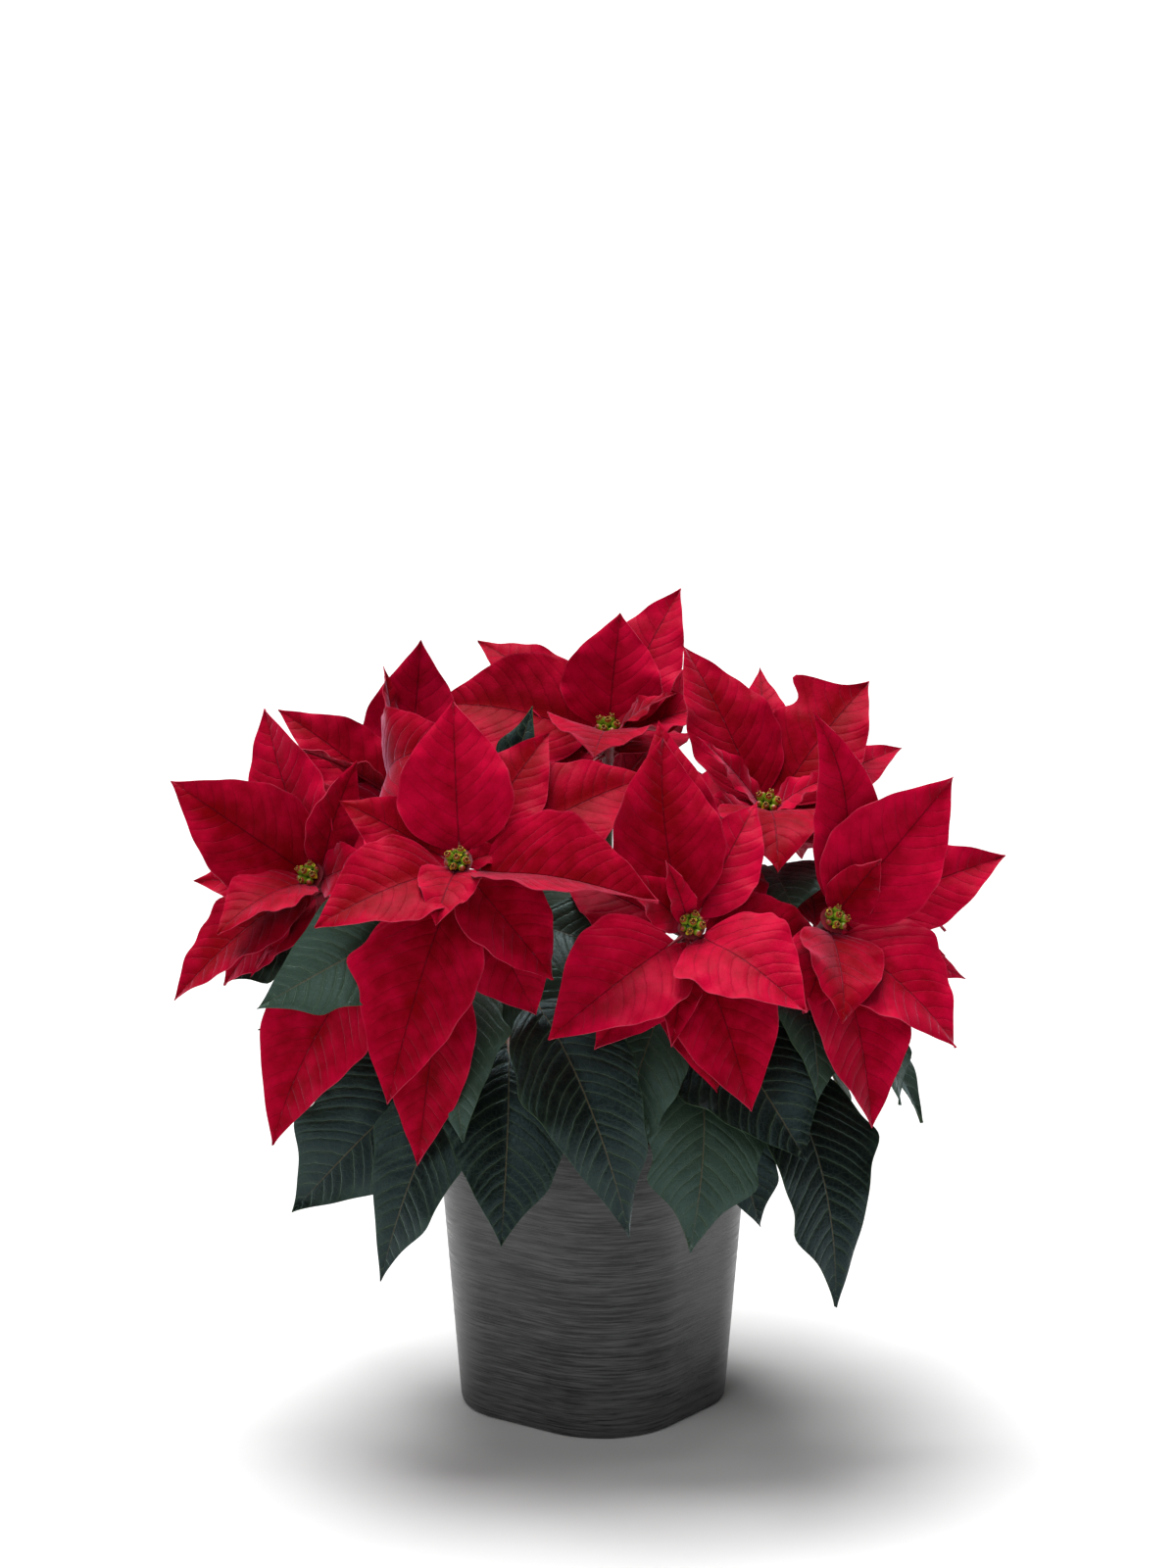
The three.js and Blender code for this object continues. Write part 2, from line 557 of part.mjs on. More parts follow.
/** What a grown blade runs into: the volume shared with other nodes, and with its own past its root. */
function conflicts(node, blade) {
  const test = bladeSolid(blade, KEEP_CLEAR / 2);
  const box = test.boundingBox();
  const rootRadius = ROOT_ZONE * blade.tip.distanceTo(blade.foot) + HUB_RADIUS;
  const found = { others: 0, own: 0 };
  for (const other of placed) {
    if (apart(box, other.box)) continue;
    if (other.root && other.node === node) continue;
    const shared = test.intersect(other.solid);
    if (shared.isEmpty()) continue;
    const zone = shared.boundingBox();
    const far = [0, 1, 2].some((i) => zone.max[i] > blade.foot.getComponent(i) + rootRadius
      || zone.min[i] < blade.foot.getComponent(i) - rootRadius);
    if (other.node === node && !far) continue;
    found[other.node === node ? "own" : "others"] += Math.max(shared.volume(), 1e-3);
  }
  return found;
}

/** Sets a blade in the first of its nudged places that is clear, or in the one that costs least. */
function settle(node, blade, nudges) {
  let best = null;
  for (const nudge of nudges) {
    const tried = nudged(blade, nudge);
    const { others, own } = conflicts(node, tried);
    const cost = SHARE_COST * others + own + TURN_COST * Math.hypot(...nudge);
    if (!best || cost < best.cost) best = { cost, others, own, blade: tried };
    if (others + own === 0) break;
  }
  return best;
}

/** Adds a solid to what stands; grown gives the same solid with the clearance round it. */
function addPiece(node, solid, grown, root = false) {
  placed.push({ node, solid, box: solid.boundingBox(), grown, root });
}

/** Cuts from a blade's solid what still lies within the clearance of other nodes. */
function trimmed(node, solid) {
  const box = solid.boundingBox();
  return placed.reduce((rest, other) => {
    if (other.node === node || apart(box, other.box)) return rest;
    return rest.subtract(other.grown());
  }, solid);
}

/** Settles blades one by one. One by rule that finds no clear place is left out, a listed one trimmed. */
function addBlades(node, blades, byRule = false) {
  const nudges = byRule ? NUDGES.slice(0, SMALL_NUDGES) : NUDGES;
  for (const blade of blades) {
    const best = settle(node, blade, nudges);
    if (best.others + best.own > 0 && byRule) continue;
    const whole = bladeSolid(best.blade);
    const solid = best.others > 0 ? trimmed(node, whole) : whole;
    addPiece(node, solid, () => bladeSolid(best.blade, CLEARANCE));
  }
}

const bractNode = (head) => `bracts_${head.name}`;
const stemNode = (head) => `leafy_stem_${head.name}`;

/** The red top of a head's stem. */
function addHub(head) {
  const axis = vec(head.axis).normalize();
  const centre = vec(head.centre);
  const profile = (extra) => [
    [0, -HUB_LENGTH - extra],
    [HUB_RADIUS * 0.7 + extra, -HUB_LENGTH - extra],
    [HUB_RADIUS + extra, -4],
    [HUB_RADIUS + 0.8 + extra, extra],
    [0, extra],
  ];
  const make = (extra) => turned(profile(extra), HUB_SIDES, centre, axis);
  addPiece(bractNode(head), make(0), () => make(CLEARANCE), true);
}

/** The cluster of buds in the middle of a head: a cushion, a ring of leaning buds and one in the middle. */
function addCyathia(head) {
  const axis = vec(head.axis).normalize();
  const base = vec(head.centre).addScaledVector(axis, CLEARANCE);
  const first = flatten(new THREE.Vector3(0.3, 0.2, 1), axis);
  const make = (extra) => {
    const cushion = [
      [0, -extra],
      [CUSHION_RADIUS + extra, -extra],
      [CUSHION_RADIUS * 0.9 + extra, CUSHION_HEIGHT],
      [0, CUSHION_HEIGHT + extra],
    ];
    const bud = [[0, 0], [BUD_RADIUS + extra, BUD_HEIGHT * 0.55], [0, BUD_HEIGHT + extra]];
    const parts = [turned(cushion, HUB_SIDES, base, axis)];
    parts.push(turned(bud, BUD_SIDES, base.clone().addScaledVector(axis, 1), axis));
    for (let i = 0; i < BUD_COUNT; i += 1) {
      const out = first.clone().applyAxisAngle(axis, (2 * Math.PI * i) / BUD_COUNT);
      const lean = axis.clone().addScaledVector(out, BUD_LEAN).normalize();
      const seat = base.clone().addScaledVector(out, BUD_RING).addScaledVector(axis, 0.4 + 0.3 * (i % 2));
      parts.push(turned(bud, BUD_SIDES, seat, lean));
    }
    return fused(parts);
  };
  addPiece(`cyathia_${head.name}`, make(0), () => make(CLEARANCE));
}

/** A leafy stem without its leaves: it starts on the skin of its plant's main stem. */
function addStem(head) {
  const make = (extra) => bar(stemCurve(head), STEM_RADIUS + extra, STEM_SIDES, STEM_STEPS);
  const main = mainStem(PLANTS[head.plant], CLEARANCE);
  addPiece(stemNode(head), make(0).subtract(main), () => make(CLEARANCE), true);
}

/** Leaves of the rings: each hangs from the nearest stem, at a share of its length. */
function ringLeaves() {
  const leaves = [];
  for (const ring of RINGS) {
    for (let i = 0; i < ring.count; i += 1) {
      const angle = rad(mix(ring.from, ring.to, (i + 0.5) / ring.count));
      const uneven = Math.sin(i * rad(GOLDEN_ANGLE));
      const reach = ring.reach * (1 + UNEVEN.reach * uneven);
      const tip = [reach * Math.cos(angle), reach * Math.sin(angle), ring.height + UNEVEN.height * uneven];
      const at = ring.at + UNEVEN.at * uneven;
      const nearest = HEADS.reduce((best, head) => {
        const gap = stemCurve(head).getPoint(at).distanceTo(vec(tip));
        return gap < best.gap ? { head, gap } : best;
      }, { gap: Infinity });
      const leaf = leafOn(nearest.head, at, tip, ring.width, { arch: ring.arch }, i);
      leaves.push({ node: stemNode(nearest.head), leaf });
    }
  }
  return leaves;
}

addPiece("pot", makePot(), makePot);
for (const plant of PLANTS) {
  addPiece(`main_stem_${plant.name}`, mainStem(plant), () => mainStem(plant, CLEARANCE));
}
const holes = PLANTS.map((plant) => mainStem(plant, CLEARANCE));
addPiece("soil", makeSoil().subtract(fused(holes)), makeSoil);
for (const head of HEADS) {
  addStem(head);
  addHub(head);
  addCyathia(head);
}
for (const head of HEADS) addBlades(bractNode(head), bractsOf(head, head.bracts));
for (const head of HEADS) addBlades(stemNode(head), leavesOf(head));
for (const head of HEADS) {
  const rule = head.bracts.length > 0 ? SKIRT : WHORL;
  addBlades(bractNode(head), bractsOf(head, ruled(vec(head.axis).normalize(), rule)), true);
}
for (const { node, leaf } of ringLeaves()) addBlades(node, [leaf], true);

const materialOf = (node) => {
  if (node === "pot") return MATERIALS.pot;
  if (node === "soil") return MATERIALS.soil;
  if (node.startsWith("main_stem")) return MATERIALS.wood;
  if (node.startsWith("leafy_stem")) return MATERIALS.leaf;
  if (node.startsWith("bracts")) return MATERIALS.bract;
  return MATERIALS.cyathium;
};

const poinsettia = new THREE.Group();
for (const node of new Set(placed.map((piece) => piece.node))) {
  const solids = placed.filter((piece) => piece.node === node).map((piece) => piece.solid);
  const mesh = new THREE.Mesh(geometryOf(fused(solids)), materialOf(node));
  mesh.name = node;
  poinsettia.add(mesh);
}

export default poinsettia;
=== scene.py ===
"""A poinsettia in a dark, rounded-square planter, finished for rendering.

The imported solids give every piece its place. Each of them is replaced by a finer piece of the same form:
blades with side veins, puckers and thin edges, stems with leaf scars, buds with stamens, a smooth planter and
crumbly soil. Lengths are in millimetres up to the point where a mesh is made, which is in metres.
"""

import logging
import math
from dataclasses import dataclass, field, replace
from enum import Enum
from functools import cache
from typing import Any, Sequence

import bpy
import numpy as np
from mathutils import Matrix, Vector
from mathutils.kdtree import KDTree


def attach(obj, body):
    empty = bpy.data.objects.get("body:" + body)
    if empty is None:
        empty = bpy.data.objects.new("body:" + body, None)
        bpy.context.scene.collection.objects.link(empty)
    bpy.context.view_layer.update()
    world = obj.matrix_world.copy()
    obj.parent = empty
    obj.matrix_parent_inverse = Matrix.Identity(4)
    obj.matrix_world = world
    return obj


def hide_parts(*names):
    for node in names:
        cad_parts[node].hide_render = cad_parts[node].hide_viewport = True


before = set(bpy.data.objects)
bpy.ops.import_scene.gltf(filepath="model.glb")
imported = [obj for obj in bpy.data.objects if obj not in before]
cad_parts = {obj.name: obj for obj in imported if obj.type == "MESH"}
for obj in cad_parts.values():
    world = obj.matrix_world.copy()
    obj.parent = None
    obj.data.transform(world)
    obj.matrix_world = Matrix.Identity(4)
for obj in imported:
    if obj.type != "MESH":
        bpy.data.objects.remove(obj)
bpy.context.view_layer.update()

log = logging.getLogger("poinsettia")

Array = np.ndarray
Place = tuple[float, float, float]
Colour = tuple[float, float, float]
Spot = tuple[float, float]
Profile = Sequence[Spot]
Changes = dict[str, Any]
Item = bpy.types.Object
Material = bpy.types.Material
Socket = bpy.types.NodeSocket
Finish = Any  # a finish, or an Enum member that holds one

MM = 0.001  # in metres
CM = 10.0  # in millimetres
BODY = "root"
GOLDEN_ANGLE = math.radians(137.508)
UP = np.array([0.0, 0.0, 1.0])

# ---- planter, soil and stems, in mm
POT_HEIGHT = 172.0
POT_FOOT_HALF = 66.3  # half the side of the rounded square at the foot
POT_RIM_HALF = 78.6
POT_CORNER = 0.69  # corner radius as a share of the half side
POT_BOW = 1.7  # how far the middle of a face stands out
POT_TURN = math.radians(53.7)  # how far the faces are turned about Z
POT_WALL = 5.0
POT_FLOOR = 6.0
POT_EDGE = 3.5  # rounding of the foot
SOIL_TOP = 152.0
CLEARANCE = 0.3
MAIN_STEM_RADIUS = 6.0
MAIN_STEM_BASE = 74.0  # height at which the cuttings start, deep in the soil
MAIN_STEM_BEND = 0.45  # share of the way from the soil to its top at which a main stem leans out
STEM_RADIUS = 2.6
STEM_LEAVE = 0.35  # reach of a stem's first handle, as a share of its length
STEM_ARRIVE = 0.3
STEM_SPREAD = 0.35  # how far a stem from the top of its main stem leaves sideways, where others go 1
HUB_RADIUS = 4.2  # the red top of a stem, which carries the bracts
HUB_LENGTH = 26.0
HUB_FLARE = 3.0  # how much wider it is right under the buds
HUB_FOOT = 0.72  # its radius where it starts, and what it gains up to its top, as shares
HUB_GROWTH = 0.36
HUB_RIDGE = 0.05
HUB_RIDGES = 21
BUD_HEIGHT = 7.0
BUD_COUNT = 4
CUSHION_RADIUS = 3.8
CUSHION_HEIGHT = 2.6
CUSHION_EDGE = 1.2
SOIL_WAVES = (  # height; along X, along Y and start of one wave; along Y and start of the other
    (0.9, 0.31, 0.0, 1.0, 0.27, 0.0),
    (0.7, 0.83, -0.4, 0.0, 0.9, 2.0),
    (0.5, 1.9, 0.0, 0.7, 2.1, 0.3),
)

# ---- blades, in mm
STALK_HALF_WIDTH = 1.1
SOLID_THICKNESS = 0.9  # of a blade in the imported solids
RISE = 0.68  # exponents of the outline: how fast it widens from the stalk and narrows to the tip
FALL = 1.2
PEAK = (RISE / (RISE + FALL)) ** RISE * (FALL / (RISE + FALL)) ** FALL
LOBE_SPREAD = 0.075
WAVES = 2.3  # edge waves along a blade
STATIONS = (0.0, 0.17, 0.42, 0.74)  # cross-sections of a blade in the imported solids
SMALL_STATIONS = (0.0, 0.28, 0.66)
SMALL_BLADE = 62.0
FOOT_LOWS = (4.0, 13.0)  # how far under a head's centre its short and its long bracts start, unless stated
LONG_BRACT = 110.0
PLAIN_BRACT: Changes = {"stalk": 0.11, "arch": 0.06}
PLAIN_LEAF: Changes = {
    "stalk": 0.26, "arch": 0.2, "fold": 9.0, "wave": 1.6, "lobes": ((0.42, 1, 4), (0.74, -1, 4)),
}

# ---- how the fine blades are made
VEIN_LEAN = 0.5  # how far a side vein runs forward, as a share of how far it runs sideways
VEIN_BOW = 0.42
VEIN_UNEVEN = 0.16
VEIN_WOBBLE = 0.22  # how far its colour strays from it, as a share of the gap between two
VEIN_HALF_WIDTH = 0.024
FOLD_CURVE = 1.2
BELLY = 0.14  # crown of each half
RUFFLES = 2.6  # small edge ruffles for each wave
RUFFLE = 0.42
SWAY = 0.02  # uneven lie of the whole sheet, as a share of its width
SWAY_ALONG = 5.2  # radians from end to end
SWAY_ACROSS = 2.3
PUCKER_BLUNT = 0.7  # exponent that rounds the puckers between side veins
PUCKER_HALF = 12.0  # half width under which they fade
EDGE_NOTCH = 0.03
NOTCHES = 5.3
ROW_GAP = 2.1  # mm between the rows of a sheet
COLUMN_GAP = 3.0
ROWS = (14, 56)  # fewest and most
COLUMNS = (10, 16)
RIB_SIDES = 6
RIB_ROWS = 18
RIB_END = 0.93  # how far along the blade it shows
RIB_TIP_RADIUS = 0.28
RIB_TAPER = 0.4
RIB_DEPTH = 0.9  # how far its middle lies under the sheet, in radii
RIB_REACH = 0.06  # half the width of the midrib, cm
NET_SCALE = 3.4  # cells of the vein net, each cm
BLADE_RELIEF = 0.35
CORNER_REACH = 0.05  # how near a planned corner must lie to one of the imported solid's
CORNER_SHARE = 0.4  # of its corners that a blade must find there
WELD = 2e-6  # m

# Small turns that a blade may have been given to clear its neighbours, in degrees: lift and swing.
TURNS = (
    (0, 0), (4, 0), (0, 5), (8, 0), (5, 6), (12, 0), (0, 10), (9, 9), (17, 0), (0, 17), (14, 12),
    (23, 0), (0, 24),
)
NUDGES = [  # each turn, either way
    (a * lift, b * swing) for lift, swing in TURNS
    for a in ((1, -1) if lift else (1,)) for b in ((1, -1) if swing else (1,))
]


# ---- small geometry helpers
def vec(numbers: Sequence[float]) -> Array:
    """Returns numbers as an array."""
    return np.array(numbers, dtype=float)


def unit(vectors: Array) -> Array:
    """Returns vectors scaled to length 1."""
    return vectors / np.linalg.norm(vectors, axis=-1, keepdims=True)


def flatten(vector: Array, normal: Array) -> Array:
    """Returns the unit vector that is left of a vector without its part along a unit normal."""
    return unit(vector - (vector @ normal)[..., None] * normal)


def turned(vector: Array, axis: Array, angle: float) -> Array:
    """Returns a vector turned about a unit axis by an angle in radians, by the right-hand rule."""
    along = axis * (vector @ axis)
    return along + (vector - along) * math.cos(angle) + np.cross(axis, vector) * math.sin(angle)


def mix(a: float, b: float, share: float) -> float:
    """Returns the value a share of the way from a to b."""
    return a + (b - a) * share


def bezier(points: Sequence[Array], t: Array) -> Array:
    """Evaluates a Bezier curve by repeated mixing.

    Args:
        points: Its control points.
        t: Places along it, 0 to 1.

    Returns:
        One point a place.
    """
    rows = [np.broadcast_to(p, (len(t), 3)) for p in points]
    while len(rows) > 1:
        rows = [a + (b - a) * t[:, None] for a, b in zip(rows, rows[1:])]
    return rows[0]


def sections(path: Array) -> tuple[Array, Array]:
    """Gives each point of a path two directions across it, carried along without twisting.

    Args:
        path: Points of the path.

    Returns:
        The two unit directions at each point.
    """
    tangents = unit(np.gradient(path, axis=0))
    start = vec((1, 0, 0)) if abs(tangents[0][0]) < 0.8 else vec((0, 1, 0))
    across = []
    for tangent in tangents:
        start = flatten(start, tangent)
        across.append(start)
    first = np.array(across)
    return first, np.cross(tangents, first)


# ---- plants and heads
class Plant(Enum):
    """The three cuttings in the planter: where each leaves the soil, and where its main stem ends."""

    LEFT = ((-27.0, -16.0), (-44.0, -30.0, 222.0))
    RIGHT = ((30.0, -10.0), (44.0, -28.0, 222.0))
    BACK = ((0.0, 30.0), (2.0, 44.0, 226.0))

    def main_stem(self, t: Array) -> Array:
        """Follows the main stem.

        Args:
            t: Places along it, from deep in the soil (0) to its top (1).

        Returns:
            One point a place.
        """
        (x, y), top = self.value
        bend = (x, y, mix(SOIL_TOP, top[2], MAIN_STEM_BEND))
        return bezier([vec((x, y, MAIN_STEM_BASE)), vec(bend), vec(top)], t)


@dataclass(frozen=True)
class HeadPlan:
    """A flower head: its plant, how far up that its stem forks off, its centre, the way it faces, its bracts.

    A bract is given by its tip from the head's centre, its width, and what differs from a plain bract.
    """

    name: str
    plant: Plant
    fork: float
    centre: Place
    towards: Place
    bracts: tuple[tuple[Place, float, Changes], ...] = ()

    @property
    def middle(self) -> Array:
        """The head's centre."""
        return vec(self.centre)

    @property
    def axis(self) -> Array:
        """The unit direction that the head faces."""
        return unit(vec(self.towards))

    def stem(self, t: Array) -> Array:
        """Follows the head's stem.

        Args:
            t: Places along it, from its plant's main stem (0) to the foot of the hub (1).

        Returns:
            One point a place.
        """
        start = self.plant.main_stem(vec([self.fork]))[0]
        end = self.middle - self.axis * (HUB_LENGTH + CLEARANCE)
        reach = float(np.linalg.norm(end - start))
        out = flatten(end - start, UP) * (STEM_SPREAD if self.fork == 1 else 1.0)
        first = start + unit(out + UP) * reach * STEM_LEAVE
        last = end - self.axis * reach * STEM_ARRIVE
        return bezier([start, first, last, end], t)


HEADS: tuple[HeadPlan, ...] = (
    HeadPlan("front_left", Plant.LEFT, 1, (-72, -125, 344), (-0.1, -0.8, 0.6), (
        ((-3, 33, 80), 64, {}), ((106, -35, -13), 74, {"turn": -25, "arch": 0.08, "fold": 36}),
        ((-75, -35, -27), 60, {"turn": 10, "arch": 0.12}),
        ((-38, -25, -127), 66, {"arch": 0.1, "lobes": ((0.42, 1, 7),)}),
        ((-11, -44, -20), 34, {"arch": 0.12}), ((50, -15, -61), 52, {"turn": -15, "arch": 0.12}),
        ((48, 53, 58), 50, {}), ((105, 40, 45), 68, {"turn": -8, "arch": 0.08}),
        ((41, 5, -86), 62, {"low": 16}), ((-23, 7, -171), 48, {"low": 22, "stalk": 0.3}),
        ((-101, 5, -159), 66, {"low": 24, "stalk": 0.3, "sweep": 0.08}), ((29, 7, 6), 12, {}),
        ((-64, 25, 27), 38, {}),
    )),
    HeadPlan("front_right", Plant.RIGHT, 1, (52, -130, 310), (0.1, -0.82, 0.55), (
        ((-15, 42, 94), 62, {"sweep": -0.06}),
        ((60, -48, -34), 64, {"turn": -10, "arch": 0.1, "lobes": ((0.25, 1, 6),)}),
        ((-76, -42, -51), 68, {"turn": 10, "arch": 0.1}), ((32, -20, -97), 60, {"arch": 0.12}),
        ((36, 60, 53), 42, {"low": 10}), ((-36, -10, 31), 26, {}), ((-14, -8, 38), 14, {}),
        ((-6, 68, 95), 50, {"low": 14}), ((-11, -35, -57), 24, {}),
    )),
    HeadPlan("right", Plant.RIGHT, 0.86, (129, -95, 304), (0.4, -0.7, 0.6), (
        ((65, 25, 73), 64, {"arch": 0.08}), ((96, 50, 23), 52, {}),
        ((-11, 23, 110), 38, {"turn": -25, "sweep": 0.12}), ((21, -23, -110), 62, {"arch": 0.1}),
        ((65, -30, -63), 66, {"arch": 0.1}), ((-1, -50, -50), 50, {"arch": 0.12}), ((68, 20, -19), 28, {}),
        ((75, 43, -45), 26, {"low": 14}), ((-17, -30, -44), 40, {"arch": 0.12}),
        ((33, -2, 30), 28, {"arch": -0.1, "low": 6}),
    )),
    HeadPlan("upper_right", Plant.RIGHT, 0.72, (95, -35, 353), (0.1, -0.55, 0.83), (
        ((-46, 45, 80), 54, {}), ((56, 47, 65), 60, {"lobes": ((0.74, -1, 18),)}),
        ((4, -62, -22), 60, {"arch": 0.22, "fold": 4}), ((77, 65, 17), 42, {"low": 12}),
        ((-2, 85, 58), 34, {"low": 14}), ((-32, -16, 44), 16, {}), ((-38, -40, 24), 20, {}),
        ((38, -14, 20), 20, {}), ((80, -10, -20), 40, {"low": 16, "arch": 0.15}),
    )),
    HeadPlan("top", Plant.BACK, 1, (8, 20, 383), (0, -0.5, 0.87), (
        ((7, 18, 62), 58, {}), ((41, 52, 69), 50, {"low": 12}),
        ((-97, 25, 8), 72, {"turn": -20, "arch": 0.1, "fold": 16}), ((-6, -58, 18), 64, {"arch": 0.12}),
        ((-84, 42, 48), 46, {"low": 12}), ((57, 2, 22), 34, {}), ((34, -20, 32), 18, {}),
        ((-10, 85, 20), 50, {"low": 12, "arch": 0.12}), ((70, 60, 5), 44, {"low": 16, "arch": 0.12}),
    )),
    HeadPlan("upper_left", Plant.LEFT, 0.72, (-105, 2, 352), (0, -0.45, 0.89), (
        ((9, 30, 79), 58, {"arch": -0.08}),
        ((55, -47, 33), 66, {"arch": 0.3, "facing": (-0.2, -0.75, 0.65)}),
        ((-70, 18, 42), 42, {"facing": (-0.3, -0.6, 0.75)}), ((-31, 14, 62), 20, {"turn": 50}),
        ((-47, -18, 50), 20, {"turn": 50}), ((-44, -44, 18), 28, {"arch": 0.12}),
        ((-14, -58, 2), 30, {"arch": 0.15}), ((-80, 58, 5), 50, {"low": 16, "arch": 0.12}),
        ((5, 88, 10), 48, {"low": 16, "arch": 0.12}),
    )),
    HeadPlan("left", Plant.LEFT, 0.86, (-153, -70, 322), (-0.5, -0.65, 0.57), (
        ((-76, 8, 51), 62, {"low": 13}), ((-27, 48, 82), 50, {}), ((-54, -36, 0), 46, {"arch": 0.12}),
        ((-74, -22, -64), 46, {"arch": 0.1}), ((-66, 8, 4), 34, {"low": 16}),
        ((8, 22, 63), 30, {"turn": 60}), ((34, -20, 12), 32, {}), ((-40, -8, -49), 14, {}),
        ((-60, 60, 0), 46, {"low": 16, "arch": 0.12}),
    )),
    HeadPlan("back_left", Plant.BACK, 0.86, (-82, 106, 314), (-0.4, 0.7, 0.58)),
    HeadPlan("back", Plant.BACK, 0.72, (10, 132, 322), (0.05, 0.8, 0.6)),
    HeadPlan("back_right", Plant.BACK, 0.58, (96, 104, 314), (0.5, 0.65, 0.58)),
    HeadPlan("side_left", Plant.LEFT, 0.58, (-146, 34, 292), (-0.8, 0.2, 0.57)),
    HeadPlan("side_right", Plant.RIGHT, 0.58, (144, 22, 300), (0.8, 0.15, 0.58)),
)


@dataclass(frozen=True)
class Whorl:
    """Bracts by rule, turned by the golden angle round a head's axis, each lower and longer than the last."""

    count: int
    lengths: tuple[float, float]
    rises: tuple[float, float]
    lows: tuple[float, float]
    share: float = 0.54

    def entries(self, axis: Array) -> list[tuple[Array, float, Changes]]:
        """Lists the bracts as a head's own are listed.

        Args:
            axis: The head's axis.

        Returns:
            Tip offset, width and changes of each bract.
        """
        first = flatten(UP, axis)
        found = []
        for i in range(self.count):
            outer = i / (self.count - 1)
            rise = math.radians(mix(*self.rises, outer))
            length = mix(*self.lengths, outer)
            out = turned(first, axis, i * GOLDEN_ANGLE)
            offset = (out * math.cos(rise) + axis * math.sin(rise)) * length
            found.append((offset, length * self.share, {"low": mix(*self.lows, outer), "arch": 0.1}))
        return found


WHOLE_WHORL = Whorl(9, (50, 92), (48, -8), (7, 20))  # on a head without a list of its own
SKIRT = Whorl(6, (80, 98), (-16, -40), (17, 24))  # under a listed head, where it fills the gaps

# A leaf: the head whose stem carries it, how far up that stem, its tip, its width, and what differs.
LEAVES: tuple[tuple[str, float, Place, float, Changes], ...] = (
    ("front_left", 0.82, (-175, -150, 274), 58, {"arch": 0.16, "facing": (0.1, -0.9, 0.4)}),
    ("front_left", 0.12, (-165, -78, 134), 78,
     {"facing": (-0.1, -0.9, 0.3), "lobes": ((0.42, 1, 11), (0.7, 1, 8))}),
    ("front_left", 0.1, (-116, -108, 104), 52, {"arch": 0.25, "facing": (-0.1, -0.8, 0.6)}),
    ("front_left", 0.2, (-76, -112, 122), 72, {"arch": 0.18, "facing": (0.1, -0.95, 0.3)}),
    ("front_left", 0.4, (-79, -125, 188), 54, {"arch": 0.22, "lobes": ((0.42, 1, 8), (0.42, -1, 8))}),
    ("front_left", 0.4, (20, -152, 148), 64, {"arch": 0.3, "facing": (0.1, -0.8, 0.6)}),
    ("front_left", 0.7, (20, -140, 232), 52, {"arch": 0.15}),
    ("front_left", 0.5, (-12, -108, 228), 52, {"arch": 0.2, "facing": (0, -0.9, 0.5)}),
    ("front_right", 0.15, (52, -130, 128), 76, {"arch": 0.28, "lobes": ((0.74, 1, 9), (0.74, -1, 9))}),
    ("front_right", 0.7, (9, -170, 205), 50, {"arch": 0.15}),
    ("front_right", 0.35, (114, -142, 182), 78, {"arch": 0.15, "facing": (0.1, -0.85, 0.5)}),
    ("right", 0.35, (126, -119, 89), 62,
     {"arch": 0.22, "facing": (0.35, -0.65, 0.65), "lobes": ((0.42, -1, 9), (0.74, 1, 7))}),
    ("right", 0.4, (180, -72, 183), 52, {"arch": 0.22}),
    ("right", 0.2, (92, -64, 121), 46, {"arch": 0.2, "facing": (0, -0.95, 0.3)}),
    ("right", 0.6, (114, -128, 203), 48, {"arch": 0.22}),
    ("right", 0.7, (148, -98, 188), 54, {"arch": 0.22}),
    ("left", 0.55, (-183, -66, 234), 46, {"arch": 0.2, "facing": (-0.3, -0.8, 0.5)}),
    ("left", 0.8, (-199, -62, 261), 40, {"arch": 0.15, "facing": (-0.3, -0.8, 0.5)}),
    ("front_left", 0.7, (-33, -64, 415), 30, {"arch": 0.1, "facing": (0, -0.9, 0.4)}),
    ("upper_right", 0.84, (108, -90, 306), 58, {"arch": 0.12, "facing": (0.2, -0.8, 0.6)}),
)


@dataclass(frozen=True)
class LeafRing:
    """Hanging leaves by rule: how many, bearings from and to, reach, height, place on the stem, size."""

    count: int
    start: float
    end: float
    reach: float
    height: float
    at: float
    width: float
    arch: float


RINGS = (
    LeafRing(9, 5, 175, 150, 150, 0.22, 58, 0.28),
    LeafRing(8, 12, 168, 160, 225, 0.55, 56, 0.22),
    LeafRing(6, 195, 345, 112, 185, 0.3, 54, 0.25),
    LeafRing(9, -60, 300, 84, 272, 0.62, 50, 0.14),
)
UNEVEN_REACH = 0.06  # how much the leaves of a ring differ
UNEVEN_HEIGHT = 14.0
UNEVEN_AT = 0.08


# ---- the blade formula
class BladeKind(Enum):
    """The two kinds of blade."""

    BRACT = (0.5, 8.6, 0.55, 1.1)
    LEAF = (0.55, 7.6, 0.6, 1.25)

    def __init__(self, thickness: float, vein_gap: float, pucker: float, stalk_radius: float) -> None:
        """Notes the sizes of a kind.

        Args:
            thickness: Of the sheet, mm.
            vein_gap: Distance between side veins along the midrib, mm.
            pucker: How far the sheet stands up between side veins, mm.
            stalk_radius: Of the stalk, mm.
        """
        self.thickness = thickness
        self.vein_gap = vein_gap
        self.pucker = pucker
        self.stalk_radius = stalk_radius


